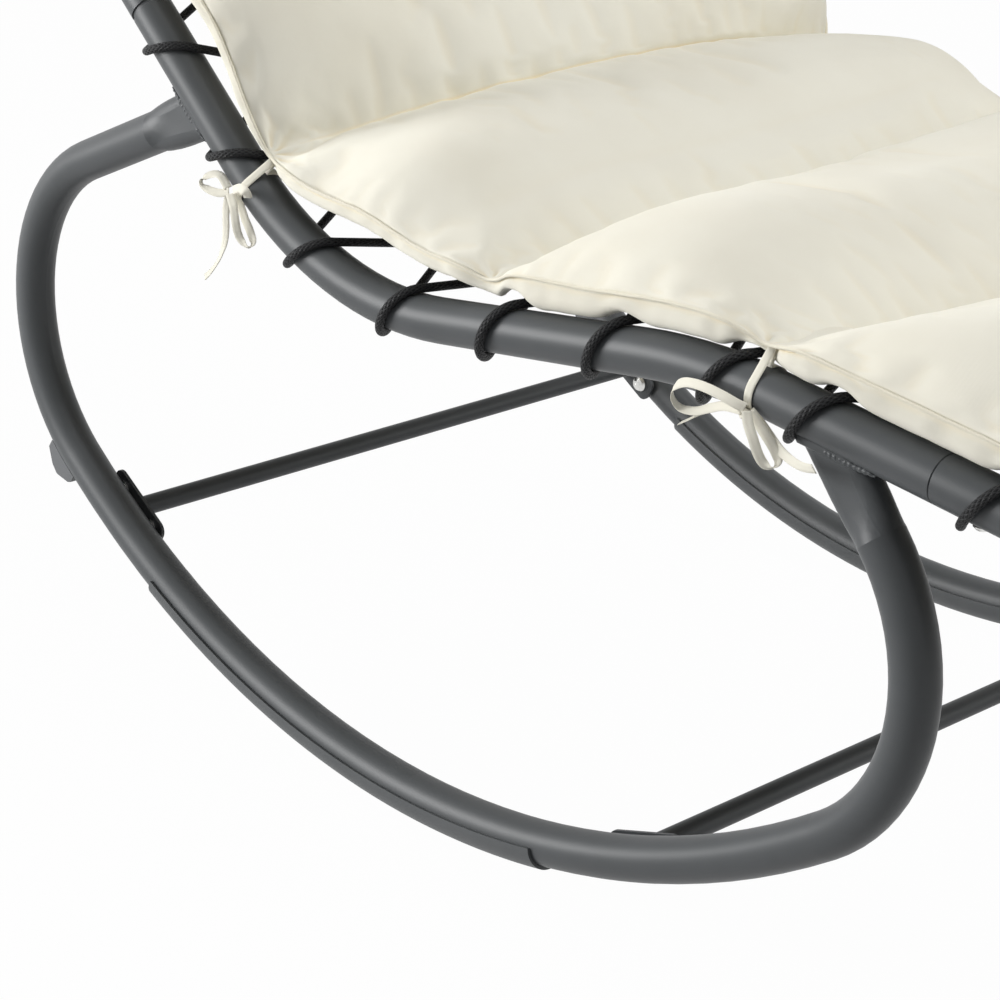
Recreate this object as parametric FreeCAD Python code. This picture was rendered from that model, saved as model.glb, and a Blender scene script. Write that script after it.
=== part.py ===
import FreeCAD, Part
import math
import os

# Rocking chaise lounge: two bent seat tubes on two boat-shaped rocker tubes, with a head
# frame and a foot frame plugged into the seat tubes, two crossbars, a laced fabric sling
# and a channelled cushion tied on with ribbons.
# Millimetres. +X points to the foot end, +Y to the sitter's left, +Z up. The floor is Z = 0.

V = FreeCAD.Vector
UP = V(0, 0, 1)
SIDEWAYS = V(0, 1, 0)

# Frame tube
tube_d = 35.0
tube_wall = 1.2
rail_spacing = 660.0
fit_clearance = 0.15
weld_gap = 0.1

# Seat line, seen from the side, from the middle of the hip hollow to both ends
hip_corner_x = -102.5
hip_corner_z = 410.6
hip_bend_r = 309.0
back_slope = 41.6
thigh_slope = 7.0
thigh_run = 416.9
knee_bend_r = 490.0
shin_slope = 7.3
back_joint_run = 297.5
foot_joint_run = 205.4
head_bend_run = 620.0
head_bend_r = 900.0
head_slope = 27.0
head_run = 278.0
foot_bend_run = 375.0
foot_bend_r = 700.0
foot_slope = 20.0
foot_run = 242.0
end_corner_r = 90.0

# Section joints
spigot_length = 55.0
spigot_wall = 1.4
shoulder_length = 1.0
head_joint_gap = 4.0
foot_joint_gap = 1.2
joint_screw_offset = 33.0

# Rocker tube
sole_r = 765.0
sole_rear_angle = 38.2
sole_front_angle = 34.6
rear_bend_r = 164.0
front_bend_r = 156.0
rear_bend_angle = 119.7
front_bend_angle = 94.2
flat_thickness = 20.0
flat_length = 60.0
# Thickness at shares of the pressed length, on the way from the round tube
half_pressed = 0.66
weld_overrun = 4.0
weld_leg = 3.5

# Glide strip and rear stop on each rocker
strip_thickness = 2.5
strip_clearance = 0.2
strip_rear_angle = 26.7
strip_front_angle = 11.7
strip_lip_angle = 8.0
strip_screw_inset = 2.0
strip_screw_sink = 0.3
stop_angle = 38.6
stop_length = 42.0
stop_height = 12.5
stop_width = 30.0
stop_corner_r = 5.0
stop_screw_depth = 6.0
stop_screw_shift = 2.0

# Crossbars
crossbar_d = 18.0
crossbar_wall = 1.2
rear_bar_angle = 32.9
front_bar_angle = 18.6
plate_length = 80.0
plate_width = 27.0
plate_thickness = 3.0
plate_corner_r = 9.0
plate_gap = 0.1
bolt_pitch = 48.0
bolt_d = 8.0
bolt_head_d = 17.0
bolt_head_h = 6.5
bolt_rim_h = 1.5
bolt_length = 22.0
bolt_clearance = 0.15
rivnut_d = 11.0
rivnut_length = 15.0
rivnut_flange_d = 15.0
rivnut_flange_t = 1.2

# Small screws
joint_screw_d = 6.0
joint_screw_head_d = 11.5
joint_screw_head_h = 3.4
joint_screw_rim_h = 0.9
joint_screw_length = 14.0
nut_inset = 1.2
pan_screw_d = 4.0
pan_screw_head_d = 7.6
pan_screw_head_h = 2.0
pan_screw_length = 12.0
pan_screw_chamfer = 0.8
pan_screw_seat_gap = 0.05

# Sling, eyelets and lacing: the first wrap is counted back from the start of the hip bend
lacing_d = 7.0
lacing_clearance = 0.35
wrap_pitch = 113.0
wrap_count = 16
first_wrap_before_hip = 688.6
wrap_slant = 44.0
wrap_corners = 6
loose_start_angle = 240.0
loose_end_angle = 480.0
eyelet_slack = 2.4
# Wraps that sit off the even pitch, to clear the frame's corners and the rocker legs
wrap_shifts = {0: 46.0, 2: 24.0, 6: -3.0, 12: -32.0, 15: 18.0}
sling_inset = 85.0
sling_thickness = 1.2
sling_edge_lift = 12.5
sling_hem = 12.0
hem_width = 34.0
eyelet_hole_r = 5.6
eyelet_r = 9.5
eyelet_t = 0.9
eyelet_clearance = 0.3
sleeve_width = 440.0
sleeve_clearance = 0.3
soft_gap = 0.5

# Cushion: seams from the head end, spaced along the seat tube
head_pitch = 246.0
hip_pitch = 302.0
thigh_pitch = 265.0
foot_pitch = 263.0
seam_pitches = (head_pitch, head_pitch, head_pitch, hip_pitch, thigh_pitch, foot_pitch, foot_pitch)
anchor_seam = 3
anchor_seam_into_hip = 19.0
cushion_width = 674.0
lacing_zone_y = 238.0
seam_draw_in = 6.0
cushion_edge_r = 13.0
edge_flat_inset = 30.0
crest_thickness = 60.0
seam_thickness = 24.0
shoulder_in = 58.0
seam_shoulder_in = 40.0
shoulder_share = 0.84
side_bulge_in = 0.33
side_bulge_out = 0.1
seam_side_share = 0.62
# Height of the cushion's lower edge over the tube's axis at each seam and mid-channel
edge_lift = (26.2, 38.0, 26.2, 46.0, 38.0, 52.0, 26.2, 51.0, 31.0, 26.2, 26.2, 26.2, 26.2, 26.2, 26.2)
# Rise of the sling's middle over its laced edges at the same places
belly_rise = (0.0, -6.0, -8.0, -4.0, 4.0, 22.0, 36.0, 36.0, 21.0, -6.0, -26.0, -20.0, -10.0, -6.0, 0.0)

# Ties
tie_width = 8.0
tie_thickness = 0.8
tie_seams = (1, 3, 5)
tie_clearance = 0.4
knot_depth = 6.5
knot_drop = 8.0
# Bow seen from the side: distance along the tube towards the foot, and distance down from the knot
knot_outline = ((-5.0, -4.0), (5.0, -4.0), (6.0, 0.0), (5.0, 4.0), (-5.0, 4.0), (-6.0, 0.0))
tie_loops = (((-2.0, 0.0), (-18.0, 2.0), (-34.0, 10.0), (-35.0, 20.0), (-18.0, 14.0), (-2.0, 2.0)),
             ((1.0, 1.0), (10.0, 30.0), (24.0, 52.0), (34.0, 44.0), (20.0, 20.0), (3.0, 1.0)))
tie_tails = (((-2.0, 2.0), (-14.0, 24.0), (-22.0, 48.0)), ((2.0, 1.0), (24.0, 26.0), (46.0, 38.0)))

tube_r = tube_d / 2
bore_r = tube_r - tube_wall
rail_y = rail_spacing / 2
spigot_r = bore_r - fit_clearance
sole_axis_z = tube_r + strip_clearance + strip_thickness
sole_centre_z = sole_axis_z + sole_r
lacing_r = lacing_d / 2
wrap_r = tube_r + lacing_clearance + lacing_r


def heading(angle, y=0.0):
    """Unit direction in the side plane, at an angle above +X."""
    return V(math.cos(math.radians(angle)), y, math.sin(math.radians(angle)))


def at_side(point, y):
    return V(point.x, y, point.z)


# Seat line corners
hip = V(hip_corner_x, 0, hip_corner_z)
knee = hip + heading(thigh_slope) * thigh_run
to_head = heading(180 - back_slope)
to_foot = heading(-shin_slope)
head_corner = hip + to_head * head_bend_run
head_end = head_corner + heading(180 - head_slope) * head_run
foot_corner = knee + to_foot * foot_bend_run
foot_end = foot_corner + heading(-foot_slope) * foot_run
head_ring = hip + to_head * back_joint_run
foot_ring = knee + to_foot * foot_joint_run
end_reach = tube_r + sleeve_clearance + sling_thickness
centre_x = (head_end.x - end_reach + foot_end.x + end_reach) / 2


def route(points, radii):
    """Straight runs joined by tangent arcs: one radius per inner point."""
    segments = []
    start = points[0]
    for before, corner, after, radius in zip(points, points[1:], points[2:], radii):
        way_in = (corner - before).normalize()
        way_out = (after - corner).normalize()
        turn = way_in.getAngle(way_out)
        tangent = radius * math.tan(turn / 2)
        arc_start = corner - way_in * tangent
        axis = way_in.cross(way_out).normalize()
        centre = arc_start + axis.cross(way_in) * radius
        segments.append(("line", start, way_in, (arc_start - start).Length))
        segments.append(("arc", arc_start, way_in, radius, centre, axis, turn))
        start = corner + way_out * tangent
    way = (points[-1] - start).normalize()
    segments.append(("line", start, way, (points[-1] - start).Length))
    return segments


def turned(vector, axis, angle):
    return FreeCAD.Rotation(axis, math.degrees(angle)).multVec(vector)


def segment_length(segment):
    return segment[3] if segment[0] == "line" else segment[3] * segment[6]


def place_on(segments, distance):
    """Point and direction at a distance along a route."""
    for segment in segments:
        length = segment_length(segment)
        if distance <= length or segment is segments[-1]:
            if segment[0] == "line":
                return segment[1] + segment[2] * distance, segment[2]
            kind, start, way, radius, centre, axis, turn = segment
            angle = distance / radius
            return centre + turned(start - centre, axis, angle), turned(way, axis, angle)
        distance -= length


def sweep(face, segments):
    """Carry a flat face along a route and join the stretches into one solid."""
    pieces = []
    for segment in segments:
        if segment[0] == "line":
            way = segment[2] * segment[3]
            pieces.append(face.extrude(way))
            face = face.translated(way)
        else:
            kind, start, way, radius, centre, axis, turn = segment
            pieces.append(face.revolve(centre, axis, math.degrees(turn)))
            face = face.copy()
            face.rotate(centre, axis, math.degrees(turn))
    return pieces[0].fuse(pieces[1:]).removeSplitter() if len(pieces) > 1 else pieces[0]


def disc(centre, way, radius):
    return Part.Face(Part.Wire(Part.makeCircle(radius, centre, way)))


def ring(centre, way, outer, inner):
    return disc(centre, way, outer).cut(disc(centre, way, inner))


def tube(segments, outer, inner):
    start, way = segments[0][1], segments[0][2]
    return sweep(ring(start, way, outer, inner), segments)


def rod(start, way, radius, length):
    return Part.makeCylinder(radius, length, start, way)


def polygon_face(points):
    return Part.Face(Part.makePolygon(list(points) + [points[0]]))


def lathe(profile, base, way):
    """Turn a profile of (radius, height) points about a line."""
    across = way.cross(SIDEWAYS)
    if across.Length < 0.1:
        across = way.cross(UP)
    across = across.normalize()
    points = [base + across * r + way * h for r, h in profile]
    return polygon_face(points).revolve(base, way, 360)


def mirrored(shape):
    return shape.mirror(V(0, 0, 0), SIDEWAYS)


def save(name, shape):
    """Check one sub-part, move it to the object's frame and write it."""
    placed = shape.translated(V(-centre_x, 0, 0))
    solids = len(placed.Solids)
    print(name, "solids", solids, "valid", placed.isValid(), "volume", round(placed.Volume / 1000, 2), "cm3")
    placed.exportStep("parts/" + name + ".step")


def save_pair(name, right_shape):
    """Write a piece of the right side, and its mirror image for the left side."""
    save(name + "_right", right_shape)
    save(name + "_left", mirrored(right_shape))


def group(shapes):
    return Part.makeCompound(shapes)


seat_line = route([head_end, head_corner, hip, knee, foot_corner, foot_end],
                  [head_bend_r, hip_bend_r, knee_bend_r, foot_bend_r])
seat_length = sum(segment_length(segment) for segment in seat_line)


def seat_frame(distance):
    """Point on the seat line, direction to the foot, and the upward normal."""
    point, way = place_on(seat_line, distance)
    return point, way, V(-way.z, 0, way.x)


def on_seat(distance, y, lift):
    point, way, normal = seat_frame(distance)
    return at_side(point, y) + normal * lift


def distance_to(segments, count):
    return sum(segment_length(segment) for segment in segments[:count])


# The hip bend is the fourth stretch of the seat line
hip_bend_start = distance_to(seat_line, 3)
channel_count = len(seam_pitches)
cushion_start = hip_bend_start + anchor_seam_into_hip - sum(seam_pitches[:anchor_seam])


def seam_distance(place):
    """Distance along the seat line of a seam, or of a place between two seams."""
    whole = min(int(place), channel_count - 1)
    return cushion_start + sum(seam_pitches[:whole]) + (place - whole) * seam_pitches[whole]


def joint_place(index):
    """Start, direction and gap of the head joint (0) or foot joint (1)."""
    if index == 0:
        return head_ring, to_head, head_joint_gap
    return foot_ring, to_foot, foot_joint_gap


def screw_axis(index, y):
    """Point on the tube's axis under a joint screw, and the way the screw's head faces."""
    start, way, gap = joint_place(index)
    down = V(way.z, 0, -way.x) if way.x > 0 else V(-way.z, 0, way.x)
    return at_side(start, y) + way * joint_screw_offset, down


def seat_rail(y):
    """Middle seat tube, reduced at both ends to plug into the head and foot frames."""
    segments = route([at_side(head_ring, y), at_side(hip, y), at_side(knee, y), at_side(foot_ring, y)],
                     [hip_bend_r, knee_bend_r])
    body = tube(segments, tube_r, bore_r)
    spigot_bore = spigot_r - spigot_wall
    for index in (0, 1):
        start, way, gap = joint_place(index)
        profile = [(bore_r, 0), (tube_r, 0), (spigot_r, shoulder_length), (spigot_r, spigot_length),
                   (spigot_bore, spigot_length), (spigot_bore, shoulder_length + 1)]
        body = body.fuse(lathe(profile, at_side(start, y), way))
        axis_point, down = screw_axis(index, y)
        body = body.cut(rod(axis_point, down, rivnut_d / 2 + bolt_clearance, tube_d))
    return body


def end_frame(index):
    """U-shaped tube of the head end or the foot end, with its two screw holes."""
    start, way, gap = joint_place(index)
    ends = ((head_corner, head_end, head_bend_r), (foot_corner, foot_end, foot_bend_r))
    corner, end, bend_r = ends[index]
    first = start + way * gap
    rows = ((-rail_y, (first, corner, end)), (rail_y, (end, corner, first)))
    points = [at_side(p, y) for y, row in rows for p in row]
    radii = [bend_r, end_corner_r, end_corner_r, bend_r]
    body = tube(route(points, radii), tube_r, bore_r)
    for y in (-rail_y, rail_y):
        axis_point, down = screw_axis(index, y)
        body = body.cut(rod(axis_point, down, joint_screw_d / 2 + bolt_clearance, tube_d))
    return body


def line_meeting(p, p_way, q, q_way):
    """Distance from p along p_way to the line through q, in the side plane."""
    cross = p_way.x * q_way.z - p_way.z * q_way.x
    return ((q.x - p.x) * q_way.z - (q.z - p.z) * q_way.x) / cross


def rocker_half(way_sign, sole_angle, bend_angle, bend_r, rail_point, rail_way):
    """Sole arc, end bend and straight leg up to the seat tube's axis, on one side of the contact point."""
    y_axis = V(0, -way_sign, 0)
    contact = V(0, 0, sole_axis_z)
    sole_centre = V(0, 0, sole_centre_z)
    way = V(way_sign, 0, 0)
    sole_turn = math.radians(sole_angle)
    sole = ("arc", contact, way, sole_r, sole_centre, y_axis, sole_turn)
    bend_start, bend_way = place_on([sole], sole_r * sole_turn)
    bend_centre = bend_start + y_axis.cross(bend_way) * bend_r
    bend = ("arc", bend_start, bend_way, bend_r, bend_centre, y_axis, math.radians(bend_angle))
    leg_start, leg_way = place_on([bend], bend_r * math.radians(bend_angle))
    leg = line_meeting(leg_start, leg_way, rail_point, rail_way)
    return [sole, bend, ("line", leg_start, leg_way, leg)]


rear_half = rocker_half(-1, sole_rear_angle, rear_bend_angle, rear_bend_r, hip, to_head)
front_half = rocker_half(1, sole_front_angle, front_bend_angle, front_bend_r, knee, to_foot)


def cut_route(segments, length):
    """The first part of a route, up to a length along it."""
    kept = []
    for segment in segments:
        whole = segment_length(segment)
        if length >= whole:
            kept.append(segment)
            length -= whole
            continue
        if length > 0.01:
            if segment[0] == "line":
                kept.append(segment[:3] + (length,))
            else:
                kept.append(segment[:6] + (length / segment[3],))
        return kept
    return kept


def route_at(segments, y):
    """The same route, moved sideways."""
    moved = []
    for segment in segments:
        row = (segment[0], at_side(segment[1], y)) + segment[2:4]
        if segment[0] == "arc":
            row += (at_side(segment[4], y),) + segment[5:]
        moved.append(row)
    return moved


def slot_wire(point, way, width, thickness):
    """Closed outline across a flattened tube: four edges, round where width equals thickness."""
    normal = V(-way.z, 0, way.x)

    def spot(across, sideways):
        return point + normal * across + SIDEWAYS * sideways

    edges = []
    if width - thickness < 0.01:
        r = width / 2
        turns = [math.radians(a) for a in (135, 45, -45, -135)]
        corners = [(r * math.cos(turn), r * math.sin(turn)) for turn in turns]
        mids = [(0, r), (r, 0), (0, -r), (-r, 0)]
        for k in range(4):
            arc = Part.Arc(spot(*corners[k]), spot(*mids[k]), spot(*corners[(k + 1) % 4]))
            edges.append(arc.toShape())
        return Part.Wire(edges)
    half_flat = (width - thickness) / 2
    r = thickness / 2
    corners = [(-half_flat, r), (half_flat, r), (half_flat, -r), (-half_flat, -r)]
    edges.append(Part.LineSegment(spot(*corners[0]), spot(*corners[1])).toShape())
    edges.append(Part.Arc(spot(*corners[1]), spot(width / 2, 0), spot(*corners[2])).toShape())
    edges.append(Part.LineSegment(spot(*corners[2]), spot(*corners[3])).toShape())
    edges.append(Part.Arc(spot(*corners[3]), spot(-width / 2, 0), spot(*corners[0])).toShape())
    return Part.Wire(edges)


def flattened_width(thickness):
    """Width of the round tube pressed to a thickness, with its outline's length kept."""
    return (math.pi * tube_d - math.pi * thickness) / 2 + thickness


def flattened_end(half, y, rail_angle):
    """End of a rocker tube: round, then pressed flat, cut to the seat tube with its weld."""
    total = sum(segment_length(segment) for segment in half)
    foot_of_cut = tube_r / math.sin(math.radians(rail_angle))
    top = total - foot_of_cut
    stations = [(top - flat_length, tube_d), (top - flat_length * 0.55, tube_d * half_pressed),
                (top - flat_length * 0.12, flat_thickness + 1), (total - weld_overrun, flat_thickness)]
    wires = []
    for distance, thickness in stations:
        point, way = place_on(half, distance)
        wires.append(slot_wire(at_side(point, y), way, flattened_width(thickness), thickness))
    body = Part.makeLoft(wires, True, False)
    point, way = place_on(half, top - flat_length)
    inner = [slot_wire(at_side(point, y), way, 2 * bore_r, 2 * bore_r)]
    for distance, thickness in stations[1:3]:
        point, way = place_on(half, distance)
        width = flattened_width(thickness) - 2 * tube_wall
        inner.append(slot_wire(at_side(point, y), way, width, thickness - 2 * tube_wall))
    body = body.cut(Part.makeLoft(inner, True, False))
    end_point, end_way = place_on(half, top)
    bead_width = flattened_width(flat_thickness) + 2 * weld_leg
    bead_start = at_side(end_point, y) - end_way * tube_r
    bead = Part.Face(slot_wire(bead_start, end_way, bead_width, flat_thickness + 2 * weld_leg))
    return body, bead.extrude(end_way * (tube_r + foot_of_cut)), top - flat_length


def rail_envelope(y, radius):
    points = [at_side(p, y) for p in (head_ring, hip, knee, foot_ring)]
    segments = route(points, [hip_bend_r, knee_bend_r])
    return sweep(disc(points[0], to_head * -1, radius), segments)


def largest(shape):
    return max(shape.Solids, key=lambda solid: solid.Volume)


def rocker_tube(y):
    """One bent tube: rear leg, rear bend, rolling sole, front bend and front leg."""
    near_rail = rail_envelope(y, tube_r + weld_gap)
    weld_zone = rail_envelope(y, tube_r + weld_gap + weld_leg)
    pieces = []
    for half, rail_slope in ((rear_half, 180 - back_slope), (front_half, -shin_slope)):
        leg_way = half[-1][2]
        rail_angle = math.degrees(leg_way.getAngle(heading(rail_slope)))
        end, bead, round_length = flattened_end(half, y, rail_angle)
        end = largest(end.cut(near_rail))
        bead = largest(bead.common(weld_zone).cut(near_rail))
        pieces.append(tube(route_at(cut_route(half, round_length), y), tube_r, bore_r))
        pieces.append(end.fuse(bead))
    body = pieces[0].fuse(pieces[1:])
    for angle in (-rear_bar_angle, front_bar_angle):
        for point in bolt_points(angle, y):
            body = body.cut(rod(point, V(0, -math.copysign(1, y), 0), rivnut_d / 2 + bolt_clearance, tube_d))
    return body


def sole_point(angle, y, radius=None):
    """Point on the sole's arc, at an angle forward of the contact point."""
    turn = math.radians(angle)
    reach = sole_r if radius is None else radius
    return V(reach * math.sin(turn), y, sole_centre_z - reach * math.cos(turn))


def bolt_points(angle, y):
    """The two bolt places of a crossbar plate, on the rocker's axis."""
    along = heading(angle)
    centre = sole_point(angle, y)
    return [centre + along * (bolt_pitch / 2 * sign) for sign in (-1, 1)]


def crossbar(angle):
    """Bar with a bolted plate welded on each end."""
    plate_outer = rail_y - tube_r - rivnut_flange_t - plate_gap
    plate_inner = plate_outer - plate_thickness
    along = heading(angle)
    across = heading(angle + 90)
    centre = sole_point(angle, 0)
    bar_start = centre - SIDEWAYS * plate_inner
    bar = rod(bar_start, SIDEWAYS, crossbar_d / 2, 2 * plate_inner)
    body = bar
    half_l = plate_length / 2
    half_w = plate_width / 2
    for side in (-1, 1):
        corners = [(-half_l, -half_w), (half_l, -half_w), (half_l, half_w), (-half_l, half_w)]
        base = centre + SIDEWAYS * (side * plate_inner)
        plate = polygon_face([base + along * a + across * b for a, b in corners])
        plate = plate.extrude(SIDEWAYS * (side * plate_thickness))
        corner_edges = [e for e in plate.Edges if abs(e.Length - plate_thickness) < 0.01]
        plate = plate.makeFillet(plate_corner_r, corner_edges)
        for point in bolt_points(angle, 0):
            plate = plate.cut(rod(point, SIDEWAYS * side, bolt_d / 2 + bolt_clearance, rail_y))
        bead = Part.makeCone(crossbar_d / 2 + weld_leg, crossbar_d / 2, weld_leg, base, SIDEWAYS * -side)
        body = body.fuse([plate, bead])
    bore = rod(bar_start, SIDEWAYS, crossbar_d / 2 - crossbar_wall, 2 * plate_inner)
    return body.cut(bore)


def crossbar_bolts(angle):
    """Four domed bolts, two through each plate."""
    shapes = []
    seat_y = rail_y - tube_r - rivnut_flange_t - plate_gap - plate_thickness
    head_r = bolt_head_d / 2
    profile = [(0, 0), (0, -bolt_length), (bolt_d / 2, -bolt_length), (bolt_d / 2, 0),
               (head_r, 0), (head_r, bolt_rim_h), (head_r * 0.8, bolt_head_h * 0.62),
               (head_r * 0.45, bolt_head_h * 0.93), (0, bolt_head_h)]
    for side in (-1, 1):
        for point in bolt_points(angle, side * seat_y):
            shapes.append(lathe(profile, point, V(0, -side, 0)))
    return group(shapes)


def rivet_nut(face_point, way, hole_r):
    """Threaded insert: a flange on the tube and a barrel inside; way points out of the tube."""
    profile = [(hole_r, -rivnut_length), (rivnut_d / 2, -rivnut_length), (rivnut_d / 2, 0),
               (rivnut_flange_d / 2, 0), (rivnut_flange_d / 2, rivnut_flange_t), (hole_r, rivnut_flange_t)]
    return lathe(profile, face_point, way)


def crossbar_nuts():
    """Rivet nuts in the inner sides of both rockers, under the crossbar bolts."""
    shapes = []
    for angle in (-rear_bar_angle, front_bar_angle):
        for side in (-1, 1):
            for point in bolt_points(angle, side * (rail_y - tube_r - plate_gap / 2)):
                shapes.append(rivet_nut(point, V(0, -side, 0), bolt_d / 2 + bolt_clearance))
    return group(shapes)


def joint_screws(index):
    """Domed screws from below that lock an end frame on its spigots."""
    shapes = []
    head_r = joint_screw_head_d / 2
    shank_r = joint_screw_d / 2
    profile = [(0, 0), (0, -joint_screw_length), (shank_r, -joint_screw_length), (shank_r, 0),
               (head_r, 0), (head_r, joint_screw_rim_h),
               (head_r * 0.75, joint_screw_head_h * 0.75), (0, joint_screw_head_h)]
    for y in (-rail_y, rail_y):
        axis_point, down = screw_axis(index, y)
        shapes.append(lathe(profile, axis_point + down * (tube_r + 0.05), down))
    return group(shapes)


def joint_nuts():
    """Flush inserts in the spigots that the joint screws turn into."""
    shapes = []
    for index in (0, 1):
        for y in (-rail_y, rail_y):
            axis_point, down = screw_axis(index, y)
            top = spigot_r - nut_inset
            base = top - rivnut_length / 2
            hole_r = joint_screw_d / 2 + bolt_clearance
            profile = [(hole_r, base), (rivnut_d / 2, base), (rivnut_d / 2, top), (hole_r, top)]
            shapes.append(lathe(profile, axis_point, down))
    return group(shapes)


def arc_face(centre, way, up, inner, outer, start_angle, end_angle):
    """Part of a ring between two angles, measured from the up direction."""
    side = way.cross(up)

    def spot(radius, angle):
        turn = math.radians(angle)
        return centre + up * (radius * math.cos(turn)) + side * (radius * math.sin(turn))

    mid = (start_angle + end_angle) / 2
    edges = [Part.Arc(spot(outer, start_angle), spot(outer, mid), spot(outer, end_angle)).toShape(),
             Part.LineSegment(spot(outer, end_angle), spot(inner, end_angle)).toShape(),
             Part.Arc(spot(inner, end_angle), spot(inner, mid), spot(inner, start_angle)).toShape(),
             Part.LineSegment(spot(inner, start_angle), spot(outer, start_angle)).toShape()]
    return Part.Face(Part.Wire(edges))


def strip_screw_angles():
    return (-strip_rear_angle + strip_screw_inset, strip_front_angle - strip_screw_inset)


def pan_screw(base, down):
    """Small flat-headed screw with its head's underside at the base point."""
    shank_r = pan_screw_d / 2
    head_r = pan_screw_head_d / 2
    profile = [(0, -pan_screw_length), (shank_r, -pan_screw_length), (shank_r, 0), (head_r, 0),
               (head_r - pan_screw_chamfer, pan_screw_head_h), (0, pan_screw_head_h)]
    return lathe(profile, base, down)


def glide_strip(y):
    """Plastic channel snapped over the lower half of the sole."""
    inner = tube_r + strip_clearance
    outer = inner + strip_thickness
    start = sole_point(-strip_rear_angle, y)
    outward = (start - V(0, y, sole_centre_z)).normalize()
    half_angle = 90 + strip_lip_angle
    face = arc_face(start, heading(-strip_rear_angle), outward, inner, outer, -half_angle, half_angle)
    body = face.revolve(V(0, y, sole_centre_z), V(0, -1, 0), strip_rear_angle + strip_front_angle)
    for angle in strip_screw_angles():
        base = sole_point(angle, y)
        down = heading(angle - 90)
        body = body.cut(rod(base, down, pan_screw_d / 2 + bolt_clearance, tube_d))
        recess = base + down * (outer - pan_screw_head_h - strip_screw_sink)
        body = body.cut(rod(recess, down, pan_screw_head_d / 2 + strip_screw_sink, tube_d))
    return body


def strip_screws():
    shapes = []
    head_base = sole_axis_z - pan_screw_head_h - strip_screw_sink + pan_screw_seat_gap
    for y in (-rail_y, rail_y):
        for angle in strip_screw_angles():
            down = heading(angle - 90)
            shapes.append(pan_screw(sole_point(angle, y) + down * head_base, down))
    return group(shapes)


def stop_directions():
    along = heading(-stop_angle)
    down = heading(-stop_angle - 90)
    return along, down


def rear_stop(y):
    """Plastic lug under the rear end of the sole that ends the rocking."""
    along, down = stop_directions()
    centre = sole_point(-stop_angle, y)
    reach = tube_r + stop_height
    half = stop_length / 2
    outline = [(-half, 2.0), (-half, tube_r), (-half + 13, reach - 2.5), (-half + 23, reach),
               (half - 3, tube_r + 4), (half, tube_r), (half, 2.0)]
    points = [centre + along * a + down * b - SIDEWAYS * (stop_width / 2) for a, b in outline]
    body = polygon_face(points).extrude(SIDEWAYS * stop_width)
    long_edges = [e for e in body.Edges if abs(e.Length - stop_width) < 0.01 and
                  (e.CenterOfMass - centre).dot(down) > tube_r + stop_height / 2]
    body = body.makeFillet(stop_corner_r, long_edges)
    rear_route = route_at(rear_half[:2], y)
    seat = sweep(disc(rear_route[0][1], rear_route[0][2], tube_r + strip_clearance), rear_route)
    body = largest(body.cut(seat))
    hole_base = centre + along * stop_screw_shift
    recess = hole_base + down * (tube_r + stop_screw_depth)
    body = body.cut(rod(hole_base, down, pan_screw_d / 2 + bolt_clearance, 2 * tube_d))
    return body.cut(rod(recess, down, pan_screw_head_d / 2 + strip_screw_sink, 2 * tube_d))


def stop_screws():
    shapes = []
    along, down = stop_directions()
    depth = tube_r + stop_screw_depth + pan_screw_seat_gap
    for y in (-rail_y, rail_y):
        base = sole_point(-stop_angle, y) + along * stop_screw_shift + down * depth
        shapes.append(pan_screw(base, down))
    return group(shapes)


def pilot_holes(body, y):
    """Screw holes in the rocker for the strip and the stop."""
    hole_r = pan_screw_d / 2 + bolt_clearance
    for angle in strip_screw_angles():
        body = body.cut(rod(sole_point(angle, y), heading(angle - 90), hole_r, tube_d))
    along, down = stop_directions()
    return body.cut(rod(sole_point(-stop_angle, y) + along * stop_screw_shift, down, hole_r, tube_d))


def station_value(values, place):
    """Value at a place counted in channels, eased between the seams and mid-channels."""
    step = min(max(2 * place, 0.0), len(values) - 1.001)
    low = int(step)
    share = step - low
    eased = share * share * (3 - 2 * share)
    return values[low] * (1 - eased) + values[low + 1] * eased


sling_y = rail_y - sling_inset
sling_half = sling_y + sling_hem
channel_shares = (0.0, 0.12, 0.3, 0.5, 0.7, 0.88, 1.0)


def wrap_distance(index):
    first_wrap = hip_bend_start - first_wrap_before_hip
    return first_wrap + wrap_pitch * index + wrap_shifts.get(index, 0.0)


def eyelet_distances():
    return [(wrap_distance(k) + wrap_distance(k + 1)) / 2 for k in range(wrap_count - 1)]


def sling_outline(place, lift):
    """Points across the sling at a height over its underside: edge, belly edge and middle of one half."""
    rise = station_value(belly_rise, place) + 0.5
    return (sling_half, lift), (sling_half - hem_width, lift), (0.0, lift + rise)


def sling_section(place):
    """Thin outline across the sling: level edges, middle risen or sunk."""
    distance = seam_distance(place)

    def spot(point, side):
        return on_seat(distance, point[0] * side, sling_edge_lift + point[1])

    rim, inner, middle = sling_outline(place, 0.0)
    rim_top, inner_top, middle_top = sling_outline(place, sling_thickness)
    return Part.Wire([
        Part.LineSegment(spot(rim, -1), spot(inner, -1)).toShape(),
        Part.Arc(spot(inner, -1), spot(middle, 1), spot(inner, 1)).toShape(),
        Part.LineSegment(spot(inner, 1), spot(rim, 1)).toShape(),
        Part.LineSegment(spot(rim, 1), spot(rim_top, 1)).toShape(),
        Part.LineSegment(spot(rim_top, 1), spot(inner_top, 1)).toShape(),
        Part.Arc(spot(inner_top, 1), spot(middle_top, 1), spot(inner_top, -1)).toShape(),
        Part.LineSegment(spot(inner_top, -1), spot(rim_top, -1)).toShape(),
        Part.LineSegment(spot(rim_top, -1), spot(rim, -1)).toShape(),
    ])


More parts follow.
